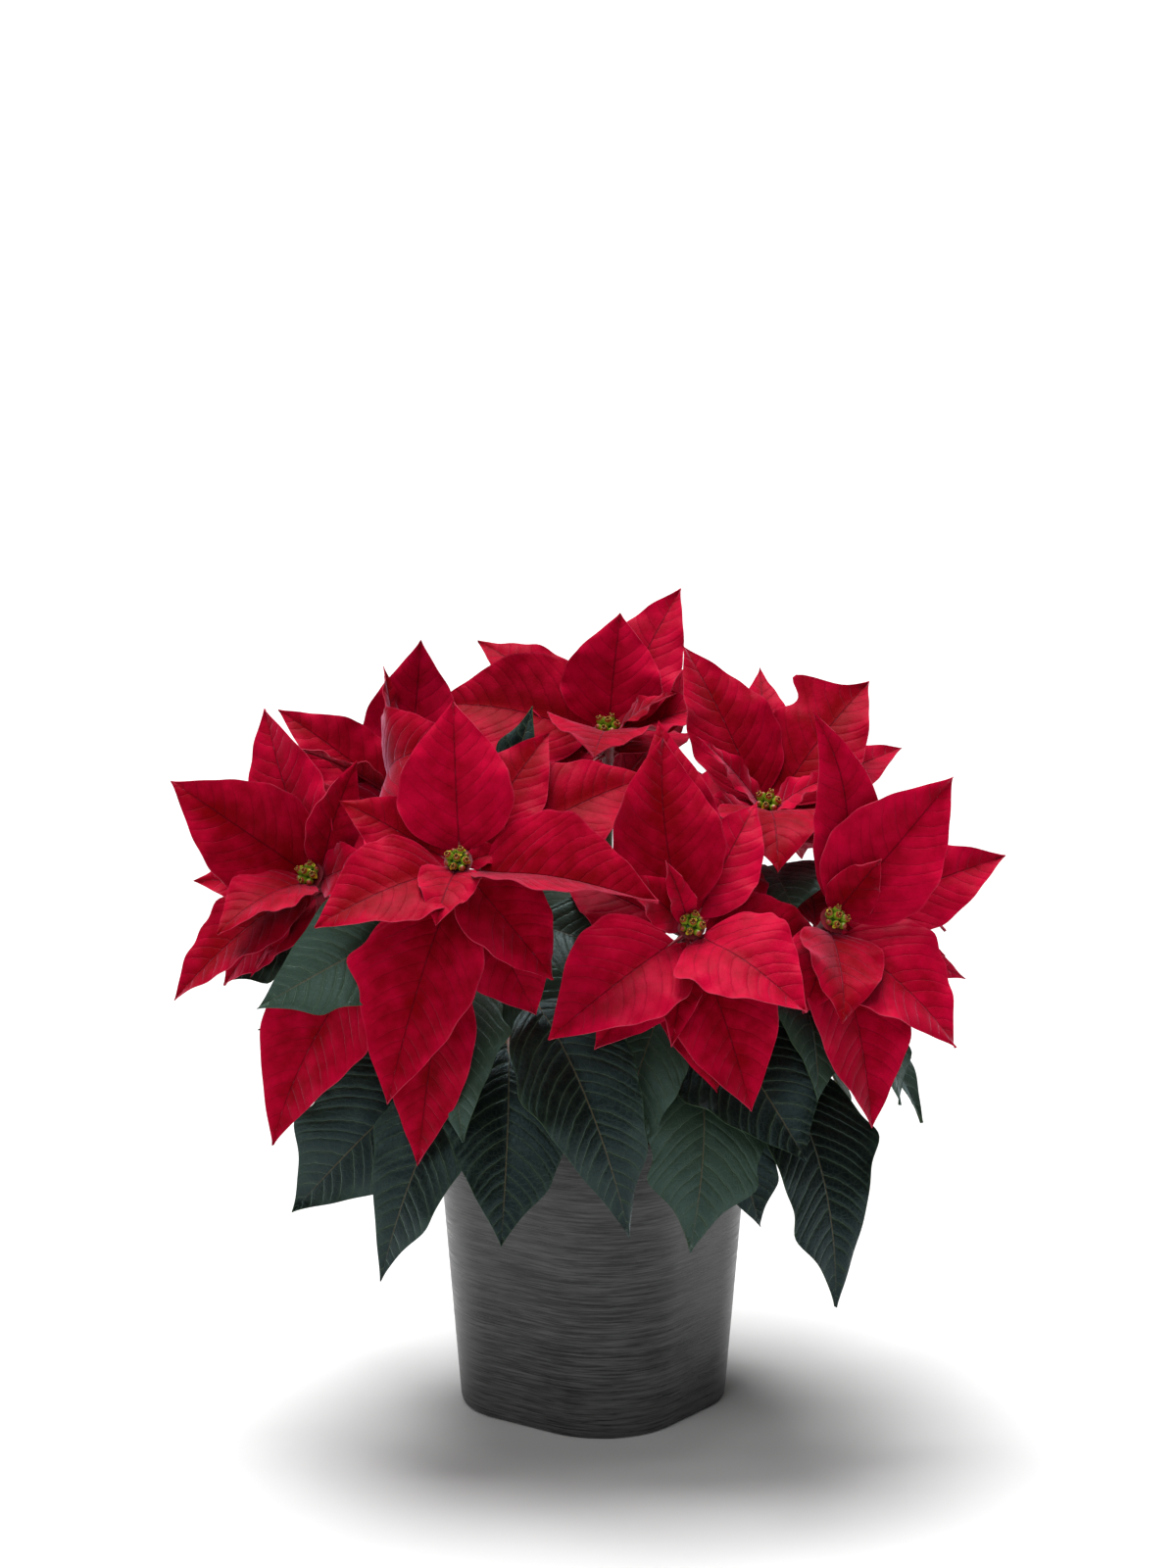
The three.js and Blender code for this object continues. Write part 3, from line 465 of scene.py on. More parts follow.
@dataclass(frozen=True)
class Blade:
    """A bract or a leaf: a midline from foot to tip, and a folded, waved and lobed section along it."""

    kind: BladeKind
    foot: Array
    tip: Array
    facing: Array
    width: float
    phase: float
    stalk: float
    arch: float
    sweep: float = 0.0
    turn: float = 0.0
    fold: float = 12.0
    wave: float = 2.2
    lobes: tuple[tuple[float, int, float], ...] = ()

    @property
    def length(self) -> float:
        """Straight distance from foot to tip."""
        return float(np.linalg.norm(self.tip - self.foot))

    def spine(self, t: Array) -> tuple[Array, Array, Array]:
        """Follows the midline.

        Args:
            t: Places along it, from the foot (0) to the tip (1).

        Returns:
            Point, direction out of the upper face, and direction across the blade, at each place.
        """
        along = unit(self.tip - self.foot)
        face = flatten(self.facing, along)
        side = np.cross(along, face)
        bulge = (4 * t * (1 - t) * self.length)[:, None]
        slope = (4 * (1 - 2 * t))[:, None]
        lean = face * self.arch + side * self.sweep
        point = self.foot + t[:, None] * (self.tip - self.foot) + bulge * lean
        tangent = unit(along + slope * lean)
        level = unit(face - (tangent @ face)[:, None] * tangent)
        turn = math.radians(self.turn)
        normal = level * math.cos(turn) + np.cross(tangent, level) * math.sin(turn)
        return point, normal, np.cross(tangent, normal)

    def half_width(self, u: Array, across: Array) -> Array:
        """Half the width past the stalk.

        Args:
            u: Places from the end of the stalk (0) to the tip (1).
            across: Which side, by its sign.

        Returns:
            Half width with its lobes, mm.
        """
        shape = u**RISE * (1 - u) ** FALL / PEAK
        half = STALK_HALF_WIDTH * (1 - u) + self.width / 2 * shape
        for at, side, size in self.lobes:
            half = half + (across * side > 0) * size * np.exp(-(((u - at) / LOBE_SPREAD) ** 2))
        return half

    def edge_wave(self, u: Array, across: Array) -> Array:
        """Returns how far the edge stands off the folded plane, mm, on the side that across gives."""
        return self.wave * np.sin(math.tau * WAVES * u + self.phase + np.sign(across)) * np.sin(math.pi * u)

    def nudged(self, lift: float, swing: float) -> "Blade":
        """Turns the blade about its foot.

        Args:
            lift: Degrees towards its upper face.
            swing: Degrees sideways.

        Returns:
            The turned blade.
        """
        chord = self.tip - self.foot
        along = unit(chord)
        face = flatten(self.facing, along)
        chord = turned(chord, np.cross(along, face), math.radians(lift))
        chord = turned(chord, face, math.radians(swing))
        return replace(self, tip=self.foot + chord)

    def marks(self) -> Array:
        """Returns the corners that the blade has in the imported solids, past its stalk."""
        base = list(SMALL_STATIONS if self.length < SMALL_BLADE else STATIONS)
        for at, _, _ in self.lobes:
            gaps = [abs(b - at) for b in base[1:]]
            base[1 + gaps.index(min(gaps))] = at
        u = np.array(base[1:])
        point, normal, across = self.spine(self.stalk + u * (1 - self.stalk))
        fold = math.radians(self.fold)
        corners = [self.tip[None, :]]
        for side in (-1.0, 0.0, 1.0):
            sides = np.full(len(u), side)
            half = self.half_width(u, sides) * abs(side)
            height = (half * math.sin(fold) + self.edge_wave(u, sides)) * abs(side)
            edge = point + across * (side * half * math.cos(fold))[:, None] + normal * height[:, None]
            for skin in (-0.5, 0.5):
                corners.append(edge + normal * SOLID_THICKNESS * skin)
        return np.concatenate(corners)

    def vein_place(self, u: Array, across: Array) -> Array:
        """Numbers the side veins.

        Args:
            u: Places from the end of the stalk to the tip.
            across: Places across, from the left edge (-1) to the right edge (1).

        Returns:
            A number that is whole on a side vein, which leaves the midrib and bows towards the tip.
        """
        reach = np.abs(across)
        forward = self.half_width(u, across) * (VEIN_LEAN * reach + VEIN_BOW * reach**2)
        place = (u * self.length * (1 - self.stalk) - forward) / self.kind.vein_gap
        return place + VEIN_UNEVEN * np.sin(1.9 * place + self.phase)

    def sway(self, u: Array, across: Array) -> Array:
        """Returns how far the sheet and its midrib lie off the planned midline, mm: nothing at the stalk."""
        uneven = np.sin(SWAY_ALONG * u + self.phase) * np.sin(SWAY_ACROSS * across + 2 * self.phase)
        return SWAY * self.width * uneven * np.minimum(1, 4 * u)

    def surface(self, u: Array, across: Array) -> Array:
        """Places the points of the fine sheet.

        Args:
            u: Places from the end of the stalk to the tip.
            across: Places across, from the left edge (-1) to the right edge (1).

        Returns:
            One point a place, mm.
        """
        point, normal, side = self.spine(self.stalk + u * (1 - self.stalk))
        reach = np.abs(across)
        half = self.half_width(u, across)
        fold = math.radians(self.fold)
        ruffle = np.sin(math.tau * WAVES * RUFFLES * u + 2 * self.phase + 2 * np.sign(across))
        place = self.vein_place(u, across) + 0.5 * (across > 0)
        pucker = np.abs(np.sin(math.pi * place)) ** PUCKER_BLUNT - 0.5
        fade = np.minimum(1, 5 * reach) * (1 - reach**3) * np.minimum(1, half / PUCKER_HALF)
        height = (
            half * math.sin(fold) * reach**FOLD_CURVE
            + half * BELLY * reach * (1 - reach)
            + self.edge_wave(u, across) * reach**2
            + RUFFLE * self.wave * ruffle * reach**4 * np.sin(math.pi * u)
            + self.kind.pucker * pucker * fade
            + self.sway(u, across)
        )
        notch = 1 - EDGE_NOTCH * (0.5 + 0.5 * np.sin(math.tau * NOTCHES * u + 3 * self.phase)) * reach**3
        lateral = across * half * notch * math.cos(fold)
        return point + side * lateral[:, None] + normal * height[:, None]


# ---- shaping meshes
def choose(*objects: Item) -> None:
    """Selects objects and nothing else.

    Args:
        objects: What to select; the first becomes the active one.
    """
    bpy.ops.object.select_all(action="DESELECT")
    for item in objects:
        item.select_set(True)
    if objects:
        bpy.context.view_layer.objects.active = objects[0]


def read(item: Item) -> Array:
    """Reads the points of an object.

    Args:
        item: The object.

    Returns:
        One point a vertex, mm.
    """
    points = np.empty(len(item.data.vertices) * 3)
    item.data.vertices.foreach_get("co", points)
    return points.reshape(-1, 3) / MM


def move(item: Item, points: Array) -> None:
    """Moves an object's points to where they belong, in mm."""
    item.data.vertices.foreach_set("co", (points * MM).ravel())


def grid(columns: int, rows: int) -> tuple[Item, Array, Array]:
    """Adds a flat grid, the start of every shaped surface.

    Args:
        columns: Faces across.
        rows: Faces along.

    Returns:
        The grid and, for each of its points, its place across and along, 0 to 1.
    """
    choose()
    bpy.ops.mesh.primitive_grid_add(x_subdivisions=columns, y_subdivisions=rows, size=2.0)
    flat = bpy.context.active_object
    x, y, _ = np.round(read(flat) * MM, 6).T
    return flat, (x + 1) / 2, (y + 1) / 2


def shape(item: Item, points: Array, *finishes: Finish) -> Item:
    """Gives an object its form and its finishes.

    Args:
        item: The object.
        points: One point a vertex, mm.
        finishes: What its material slots show, in order.

    Returns:
        The same object.
    """
    move(item, points)
    for finish in finishes:
        item.data.materials.append(material_of(finish))
    item.data.update()
    return item


def mark(item: Item, name: str, *values: Array) -> None:
    """Stores three numbers a point under a name, for a material to read."""
    store = item.data.attributes.new(name, "FLOAT_VECTOR", "POINT")
    store.data.foreach_set("vector", np.stack(values, axis=1).ravel())


def joined(objects: Sequence[Item], name: str) -> Item:
    """Joins objects in one.

    Args:
        objects: What to join.
        name: The name of the whole.

    Returns:
        The whole, its seams and poles closed.
    """
    choose(*objects)
    if len(objects) > 1:
        bpy.ops.object.join()
    whole = objects[0]
    whole.name = name
    whole.data.name = name
    bpy.ops.object.mode_set(mode="EDIT")
    bpy.ops.mesh.select_all(action="SELECT")
    bpy.ops.mesh.remove_doubles(threshold=WELD)
    bpy.ops.object.mode_set(mode="OBJECT")
    return whole


def fit(piece: Item, node: str, sharp: float = 50.0) -> None:
    """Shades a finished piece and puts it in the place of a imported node.

    Args:
        piece: The finished piece.
        node: The node that it stands for.
        sharp: Degrees between faces, over which an edge stays sharp.
    """
    choose(piece)
    bpy.ops.object.shade_smooth_by_angle(angle=math.radians(sharp))
    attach(piece, BODY)
    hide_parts(node)
    log.info("%s stands for %s: %d faces", piece.name, node, len(piece.data.polygons))


def tube(path: Array, radii: Array, sides: int, finish: Finish) -> Item:
    """Makes a round bar along a path, closed at both ends.

    Args:
        path: Points of its midline, mm.
        radii: Its radius at each point.
        sides: Faces round it.
        finish: Its finish.

    Returns:
        The bar.
    """
    first, second = sections(path)
    order = np.concatenate([[0], np.arange(len(path)), [len(path) - 1]])
    sizes = np.concatenate([[0], radii, [0]])
    bar, u, v = grid(sides, len(order) - 1)
    row = np.rint(v * (len(order) - 1)).astype(int)
    at = order[row]
    angle = (math.tau * u)[:, None]
    points = path[at] + (first[at] * np.cos(angle) + second[at] * np.sin(angle)) * sizes[row][:, None]
    none = np.zeros_like(u)
    mark(bar, "blade", none, v, row / len(order))
    mark(bar, "sheet", u, v, none)
    return shape(bar, points, finish)


def around(radius: Array, angle: Array, height: Array) -> Array:
    """Returns points at distances from the Z axis, bearings in radians and heights."""
    return np.stack([radius * np.cos(angle), radius * np.sin(angle), height], axis=1)


def lathed(profile: Profile, sides: int, finish: Finish) -> tuple[Item, Array, Array, Array]:
    """Makes a shape round Z from the outline of one side.

    Args:
        profile: Radius and height of each point, from the bottom of the axis to its top, outside first.
        sides: Faces round it.
        finish: Its finish.

    Returns:
        The shape, and the radius, height and bearing of each of its points.
    """
    body, u, v = grid(sides, len(profile) - 1)
    radius, height = np.array(profile)[np.rint(v * (len(profile) - 1)).astype(int)].T
    angle = math.tau * u
    return shape(body, around(radius, angle, height), finish), radius, height, angle


def copied(item: Item, at: Array, axis: Array, spin: float = 0.0, size: float = 1.0) -> Item:
    """Copies a piece modelled at the origin, with its own mesh.

    Args:
        item: The piece, upright.
        at: Where its origin goes, mm.
        axis: Which way its Z goes.
        spin: Radians about its own axis.
        size: Its scale.

    Returns:
        The copy, its place in its mesh.
    """
    twin = item.copy()
    twin.data = item.data.copy()
    bpy.context.collection.objects.link(twin)
    turn = Vector(axis).to_track_quat("Z", "Y").to_matrix().to_4x4()
    place = Matrix.Translation(Vector(at) * MM) @ turn @ Matrix.Rotation(spin, 4, "Z") @ Matrix.Scale(size, 4)
    twin.data.transform(place)
    return twin


def arc(radius: float, height: float, bend: float, start: float, end: float, steps: int) -> list[Spot]:
    """Lists points of an arc in a profile, by its centre, its own radius and its bearings, 90 degrees up."""
    bearings = [math.radians(mix(start, end, i / steps)) for i in range(steps + 1)]
    return [(radius + bend * math.cos(b), height + bend * math.sin(b)) for b in bearings]


# ---- finishes
class Wire:
    """What comes out of a material's node, with the sums that can be done on it."""

    def __init__(self, board: "Board", socket: Socket) -> None:
        """Takes the material's board and the node's output."""
        self.board = board
        self.socket = socket

    def __add__(self, other: Any) -> "Wire":
        """Returns the sum with a wire or number."""
        return self.board.math("ADD", self, other)

    def __sub__(self, other: Any) -> "Wire":
        """Returns the difference from a wire or number."""
        return self.board.math("SUBTRACT", self, other)

    def __mul__(self, other: Any) -> "Wire":
        """Returns the product with a wire or number."""
        return self.board.math("MULTIPLY", self, other)

    def __abs__(self) -> "Wire":
        """Returns the value without its sign."""
        return self.board.math("ABSOLUTE", self)


class Board:
    """A material's nodes, with short ways to add and join them."""

    def __init__(self, name: str, roughness: float) -> None:
        """Starts a material.

        Args:
            name: Its name.
            roughness: Of its surface, where nothing else is linked to it.
        """
        self.material = bpy.data.materials.new(name)
        self.material.use_nodes = True
        self.tree = self.material.node_tree
        self.shader = self.tree.nodes["Principled BSDF"]
        self.shader.inputs["Roughness"].default_value = roughness

    def fill(self, node: bpy.types.Node, inputs: dict[Any, Any]) -> None:
        """Links the inputs of a node or sets their values.

        Args:
            node: The node.
            inputs: Wires or values, by the names or numbers of its inputs.
        """
        for name, value in inputs.items():
            socket = node.inputs[name]
            if isinstance(value, Wire):
                self.tree.links.new(value.socket, socket)
            elif socket.type == "RGBA":
                socket.default_value = (*value, 1.0)
            else:
                socket.default_value = value

    def add(self, kind: str, inputs: dict[Any, Any], output: Any = 0, **settings: Any) -> Wire:
        """Adds a node.

        Args:
            kind: Its type, without "ShaderNode".
            inputs: Wires or values, by the names or numbers of its inputs.
            output: The name or number of the output that is used.
            settings: Its own properties.

        Returns:
            What comes out of it.
        """
        node = self.tree.nodes.new("ShaderNode" + kind)
        for name, value in settings.items():
            setattr(node, name, value)
        self.fill(node, inputs)
        return Wire(self, node.outputs[output])

    def math(self, operation: str, a: Any, b: Any = 0.0) -> Wire:
        """Returns the result of a sum on two wires or numbers."""
        return self.add("Math", {0: a, 1: b}, operation=operation)

    def step(self, value: Wire, low: float, high: float) -> Wire:
        """Returns 0 where a value is at low and 1 where it is at high, with a soft change between."""
        limits = {"Value": value, "From Min": low, "From Max": high}
        return self.add("MapRange", limits, interpolation_type="SMOOTHSTEP")

    def blend(self, share: Wire, a: Any, b: Any) -> Wire:
        """Returns colour a with a share of colour b."""
        return self.add("Mix", {0: share, 6: a, 7: b}, 2, data_type="RGBA", blend_type="MIX")

    def parts(self, vector: Wire) -> list[Wire]:
        """Returns the three numbers of a vector."""
        node = self.add("SeparateXYZ", {"Vector": vector}).socket.node
        return [Wire(self, socket) for socket in node.outputs]

    def stored(self, name: str) -> Wire:
        """Returns what an object stores at each point under a name."""
        return self.add("Attribute", {}, "Vector", attribute_name=name)

    def place(self, x: float = 1.0, y: float = 1.0, z: float = 1.0) -> Wire:
        """Returns the place on the object, in metres, each axis stretched by a scale."""
        return self.add("Mapping", {"Vector": self.add("TexCoord", {}, "Object"), "Scale": (x, y, z)})

    def noise(self, vector: Wire, scale: float, detail: float = 3.0, rough: float = 0.55) -> Wire:
        """Returns cloudy noise from 0 to 1."""
        return self.add("TexNoise", {"Vector": vector, "Scale": scale, "Detail": detail, "Roughness": rough})

    def finish(self, colour: Any, height: Wire, depth: float, **sockets: Any) -> Material:
        """Joins colour and relief to the shader.

        Args:
            colour: The base colour.
            height: The relief, 0 to 1.
            depth: How deep the relief is, mm.
            sockets: Other values for the shader, by the names of its inputs with _ for a space.

        Returns:
            The finished material.
        """
        bump = self.add("Bump", {"Height": height, "Distance": depth * MM, "Strength": 1.0})
        named = {name.replace("_", " "): value for name, value in sockets.items()}
        self.fill(self.shader, {"Base Color": colour, "Normal": bump, **named})
        return self.material


@dataclass(frozen=True)
class BladeFinish:
    """One face of a bract or leaf: its colours, how its veins show, and its gloss.

    The colours run from deep, near the midrib, to bright; darker towards the midrib is painted shade in the
    fold's crease. A vein stands out where relief is above 0.
    """

    name: str
    deep: Colour
    bright: Colour
    vein: Colour
    vein_share: float
    rib: Colour
    rib_share: float
    # The margin line: the margin's paler colour, with a painted highlight where the rim catches the light.
    edge: Colour
    margin_and_glint_share: float
    relief: float
    pillow: float
    roughness: float
    sheen: float
    tint: Colour  # of its sheen and gloss
    specular: float
    uneven: float = 0.1  # how much the blades of a plant differ in tone; on the leaves, painted light and shade, some leaves lit and others shaded

    def material(self) -> Material:
        """Builds the material, which follows the side veins that the blade stores."""
        board = Board(self.name, self.roughness)
        across, along, vein = board.parts(board.stored("blade"))
        sheet = board.stored("sheet")
        lateral, _, tone_and_light = board.parts(sheet)
        reach = abs(across)
        right = board.math("GREATER_THAN", across, 0.0)
        place = vein + right * 0.5 + board.noise(sheet, 2.2) * VEIN_WOBBLE
        away = abs(board.math("FRACT", place) - 0.5)
        soft = board.step(away, 0.2, 0.5)
        line = board.step(away, 0.5 - VEIN_HALF_WIDTH * 2.2, 0.5 - VEIN_HALF_WIDTH * 0.5)
        line = line * board.step(reach, 1.0, 0.55)
        rib = board.step(abs(lateral), RIB_REACH, RIB_REACH * 0.4) * board.step(along, 1.02, 0.7)
        cells = board.add("TexVoronoi", {"Vector": sheet, "Scale": NET_SCALE}, "Distance",
                          feature="DISTANCE_TO_EDGE")
        net = board.step(cells, 0.12, 0.0)
        # Painted shade: reach * 0.22 darkens the colour towards the midrib, in the fold's crease. The large
        # noise is random mottling. The per-blade tone differs at random on the bracts, and is painted light
        # and shade on the leaves.
        shade = board.noise(sheet, 0.9, 4.0) * 0.75 + tone_and_light * self.uneven + reach * 0.22
        colour = board.blend(board.step(shade, 0.15, 0.85), self.deep, self.bright)
        for where, share, paint in (
            (net, self.vein_share * 0.2, self.vein),
            (soft, self.vein_share * 0.25, self.vein),
            (line, self.vein_share, self.vein),
            (rib, self.rib_share, self.rib),
            # Painted highlight along the rim, over the margin's paler colour.
            (board.step(reach, 0.955, 1.0), self.margin_and_glint_share, self.edge),
        ):
            colour = board.blend(where * share, colour, paint)
        veins = board.math("MAXIMUM", line, rib) + (soft * self.pillow + net * 0.25)
        height = veins * self.relief + board.noise(sheet, 26.0, 2.0) * 0.22
        return board.finish(colour, height, BLADE_RELIEF, Sheen_Weight=self.sheen, Sheen_Roughness=0.35,
                            Sheen_Tint=self.tint, Specular_Tint=self.tint, Specular_IOR_Level=self.specular)


class Face(Enum):
    """The faces of the blades."""

    BRACT_UPPER = BladeFinish(
        "bract_upper", (0.18, 0.0, 0.002), (0.50, 0.001, 0.031), (0.06, 0.0, 0.002), 0.2,
        (0.07, 0.0, 0.003), 0.6, (0.52, 0.03, 0.08), 0.25, -0.4, 1.0, 0.40, 0.52, (1.0, 0.42, 0.64), 0.03)
    BRACT_UNDER = BladeFinish(
        "bract_under", (0.30, 0.006, 0.024), (0.50, 0.025, 0.065), (0.16, 0.002, 0.014), 0.4,
        (0.24, 0.02, 0.04), 0.8, (0.55, 0.05, 0.09), 0.4, 1.0, 0.45, 0.5, 0.16, (1.0, 0.5, 0.6), 0.08)
    # Upper leaf face: its bright colour is tinted teal as a painted sheen, and its near-black deep colour
    # with a large per-leaf tone paints some leaves lit and others shaded.
    LEAF_UPPER = BladeFinish(
        "leaf_upper", (0.0004, 0.0012, 0.0004), (0.0250, 0.0450, 0.0290), (0.068, 0.100, 0.048), 0.40,
        (0.10, 0.075, 0.035), 0.6, (0.03, 0.055, 0.02), 0.4, -0.8, 0.7, 0.36, 0.42,
        (0.58, 0.90, 0.96), 0.34, 0.45)
    LEAF_UNDER = BladeFinish(
        "leaf_under", (0.020, 0.038, 0.018), (0.036, 0.062, 0.030), (0.07, 0.10, 0.05), 0.45,
        (0.11, 0.10, 0.05), 0.8, (0.05, 0.08, 0.04), 0.4, 1.0, 0.45, 0.5, 0.06, (0.7, 0.9, 1.0), 0.12)


@dataclass(frozen=True)
class StalkFinish:
    """A stem or stalk: two colours that run into each other along it, with fine ridges."""

    name: str
    low: Colour
    high: Colour
    scale: float = 90.0
    roughness: float = 0.5
    relief: float = 0.25

    def material(self) -> Material:
        """Builds the material."""
        board = Board(self.name, self.roughness)
        streaks = board.noise(board.place(z=0.22), self.scale * 4, 4.0)
        patches = board.noise(board.place(), self.scale, 2.0)
        colour = board.blend(board.step(patches, 0.35, 0.65), self.low, self.high)
        colour = board.blend(board.step(streaks, 0.5, 0.75) * 0.4, colour, tuple(0.45 * c for c in self.low))
        return board.finish(colour, streaks, self.relief)


class Stalk(Enum):
    """The finishes of what carries the blades."""

    BRACT = StalkFinish("bract_stalk", (0.20, 0.003, 0.012), (0.30, 0.012, 0.03))
    LEAF = StalkFinish("leaf_stalk", (0.16, 0.035, 0.03), (0.12, 0.12, 0.04))
    GREEN = StalkFinish("green_stem", (0.035, 0.060, 0.018), (0.085, 0.080, 0.030))
    HUB = StalkFinish("bract_hub", (0.13, 0.006, 0.012), (0.24, 0.008, 0.02))
    WOOD = StalkFinish("woody_stem", (0.16, 0.115, 0.06), (0.10, 0.10, 0.045), 60.0, 0.8, 0.9)


@dataclass(frozen=True)
class PotFinish:
    """Satin charcoal, brushed round the planter in fine uneven streaks."""

    dark: Colour = (0.003, 0.003, 0.0032)
    light: Colour = (0.092, 0.092, 0.093)
    smooth: float = 0.22
    rough: float = 0.55

    def material(self) -> Material:
        """Builds the material."""
        board = Board("pot_charcoal", self.smooth)
        broad = board.noise(board.place(14.0, 14.0, 480.0), 1.0, 3.0, 0.6)
        fine = board.noise(board.place(55.0, 55.0, 1350.0), 1.0, 3.0, 0.65)
        dashes = board.noise(board.place(26.0, 26.0, 800.0), 1.0, 2.0)
        patches = board.noise(board.place(9.0, 9.0, 16.0), 1.0, 3.0)
        streaks = broad * 0.45 + fine * 0.55
        colour = board.blend(board.step(streaks + patches * 0.3, 0.50, 0.80), self.dark, self.light)
        colour = board.blend(board.step(dashes, 0.55, 0.68) * 0.6, colour, self.dark)
        gloss = board.add("MapRange", {"Value": streaks, "From Min": 0.35, "From Max": 0.65,
                                       "To Min": self.smooth, "To Max": self.rough})
        glints = board.step(broad, 0.46, 0.60) * board.step(patches, 0.35, 0.60)
        return board.finish(colour, streaks, 0.4, Roughness=gloss, Specular_IOR_Level=0.4,
                            Sheen_Weight=glints, Sheen_Roughness=0.12)


@dataclass(frozen=True)
class SoilFinish:
    """Dark, moist potting soil, with paler crumbs."""

    wet: Colour = (0.010, 0.007, 0.005)
    dry: Colour = (0.060, 0.040, 0.026)

    def material(self) -> Material:
        """Builds the material."""
        board = Board("potting_soil", 0.92)
        crumbs = board.noise(board.place(), 420.0, 5.0, 0.7)
        patches = board.noise(board.place(), 70.0, 2.0)
        colour = board.blend(board.step(crumbs, 0.35, 0.75), self.wet, self.dry)
        return board.finish(board.blend(patches * 0.5, colour, self.wet), crumbs, 1.4)


@dataclass(frozen=True)
class BudFinish:
    """A bud's skin, which runs from one colour at its foot to another at its mouth."""

    name: str
    foot: Colour
    mouth: Colour
    rim: Colour
    roughness: float = 0.4

    def material(self) -> Material:
        """Builds the material, which reads how far up the bud a point lies."""
        board = Board(self.name, self.roughness)
        _, height, _ = board.parts(board.stored("blade"))
        mottle = board.noise(board.place(), 900.0, 2.0)
        colour = board.blend(board.step(height, 0.1, 0.65), self.foot, self.mouth)
        colour = board.blend(board.step(height, 0.72, 0.9), colour, self.rim)
        colour = board.blend(board.step(mottle, 0.5, 0.8) * 0.4, colour, self.foot)
        return board.finish(colour, mottle, 0.12, Specular_IOR_Level=0.5)


class Bud(Enum):
    """The finishes of a bud's parts."""

    CUP = BudFinish("cyathium_cup", (0.05, 0.11, 0.008), (0.20, 0.32, 0.015), (0.30, 0.03, 0.015))
    GLAND = BudFinish("nectar_gland", (0.36, 0.34, 0.012), (0.52, 0.48, 0.02), (0.55, 0.50, 0.03), 0.25)
    STAMEN = BudFinish("stamen", (0.20, 0.003, 0.01), (0.28, 0.004, 0.015), (0.50, 0.40, 0.04), 0.5)


@dataclass(frozen=True)
class PlainFinish:
    """The floor of the studio."""

    colour: Colour = (0.74, 0.74, 0.74)

    def material(self) -> Material:
        """Builds the material."""
        board = Board("studio_floor", 0.9)
        return board.finish(self.colour, board.noise(board.place(), 40.0), 0.02)


@cache
def material_of(finish: Finish) -> Material:
    """Returns the material of a finish, which is built once."""
    return (finish.value if isinstance(finish, Enum) else finish).material()


LOOKS = {  # of each kind of blade: its upper face, its lower face and edge, its stalk
    BladeKind.BRACT: (Face.BRACT_UPPER, Face.BRACT_UNDER, Stalk.BRACT),
    BladeKind.LEAF: (Face.LEAF_UPPER, Face.LEAF_UNDER, Stalk.LEAF),
}


# ---- blades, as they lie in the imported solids
class Corners:
    """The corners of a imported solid, by which a blade is recognised."""

    def __init__(self, node: str) -> None:
        """Collects the corners of a node.

        Args:
            node: Its name.
        """
        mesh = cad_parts[node].data
        self.tree = KDTree(len(mesh.vertices))
        for i, vertex in enumerate(mesh.vertices):
            self.tree.insert(vertex.co / MM, i)
        self.tree.balance()

    def share(self, points: Array) -> float:
        """Returns the share of some points, in mm, that are corners of the solid."""
        return sum(self.tree.find(Vector(p))[2] < CORNER_REACH for p in points) / len(points)

    def settle(self, planned: Sequence[Blade]) -> list[Blade]:
        """Finds the turns that blades were given to clear their neighbours.

        Args:
            planned: The blades as planned.

        Returns:
            Those that the solid holds, as they lie there.
        """
        found = []
        for blade in planned:
            tried = [blade.nudged(*nudge) for nudge in NUDGES]
            shares = [self.share(turn.marks()) for turn in tried]
            if max(shares) > CORNER_SHARE:
                found.append(tried[shares.index(max(shares))])
        return found


def blade_sheet(blade: Blade) -> Item:
    """Makes the fine sheet of a blade, and stores what its material reads.

    Args:
        blade: The blade.

    Returns:
        The sheet, still without thickness.
    """
    past = blade.length * (1 - blade.stalk)
    rows = int(np.clip(past / ROW_GAP, *ROWS))
    columns = 2 * (int(np.clip(blade.width / COLUMN_GAP, *COLUMNS)) // 2)
    flat, u, v = grid(columns, rows)
    across = np.round(2 * u - 1, 5)
    upper, under, _ = LOOKS[blade.kind]
    # Per-blade tone: random on the bracts; on the leaves it paints some leaves lit and others shaded.
    tone_and_light = np.full_like(v, math.sin(3 * blade.phase + blade.width))
    mark(flat, "blade", across, v, blade.vein_place(v, across))
    mark(flat, "sheet", across * blade.half_width(v, across) / CM, v * past / CM, tone_and_light)
    return shape(flat, blade.surface(v, across), upper, under)


def midrib(blade: Blade) -> Item:
    """Makes a blade's stalk, which runs on as the midrib on its lower face and thins out to the tip.

    Args:
        blade: The blade.

    Returns:
        The stalk and midrib in one.
    """
    t = np.linspace(0, RIB_END, RIB_ROWS)
    point, normal, _ = blade.spine(t)
    u = np.clip((t - blade.stalk) / (1 - blade.stalk), 0, 1)
    radius = mix(blade.kind.stalk_radius, RIB_TIP_RADIUS, u**RIB_TAPER)
    below = np.minimum(1, 8 * u) * (radius * RIB_DEPTH + blade.kind.thickness / 4)
    path = point + normal * (blade.sway(u, np.zeros_like(u)) - below)[:, None]
    return tube(path, radius, RIB_SIDES, LOOKS[blade.kind][-1])


def fit_blades(name: str, blades: Sequence[Blade], core: Item, node: str) -> None:
    """Makes one piece of many blades and what carries them, and puts it in place.

    Args:
        name: The piece's name.
        blades: The blades, all of one kind. There may be none.
        core: The stem or hub in their middle.
        node: The node that it stands for.
    """
    solids = [core]
    if blades:
        sheets = joined([blade_sheet(blade) for blade in blades], name)
        wall = sheets.modifiers.new("Solidify", "SOLIDIFY")
        wall.thickness = blades[0].kind.thickness * MM
        wall.offset = 0.0
        wall.material_offset = 1
        wall.material_offset_rim = 1
        choose(sheets)
        bpy.ops.object.modifier_apply(modifier=wall.name)
        solids = [sheets, *map(midrib, blades), core]
    fit(joined(solids, name), node)


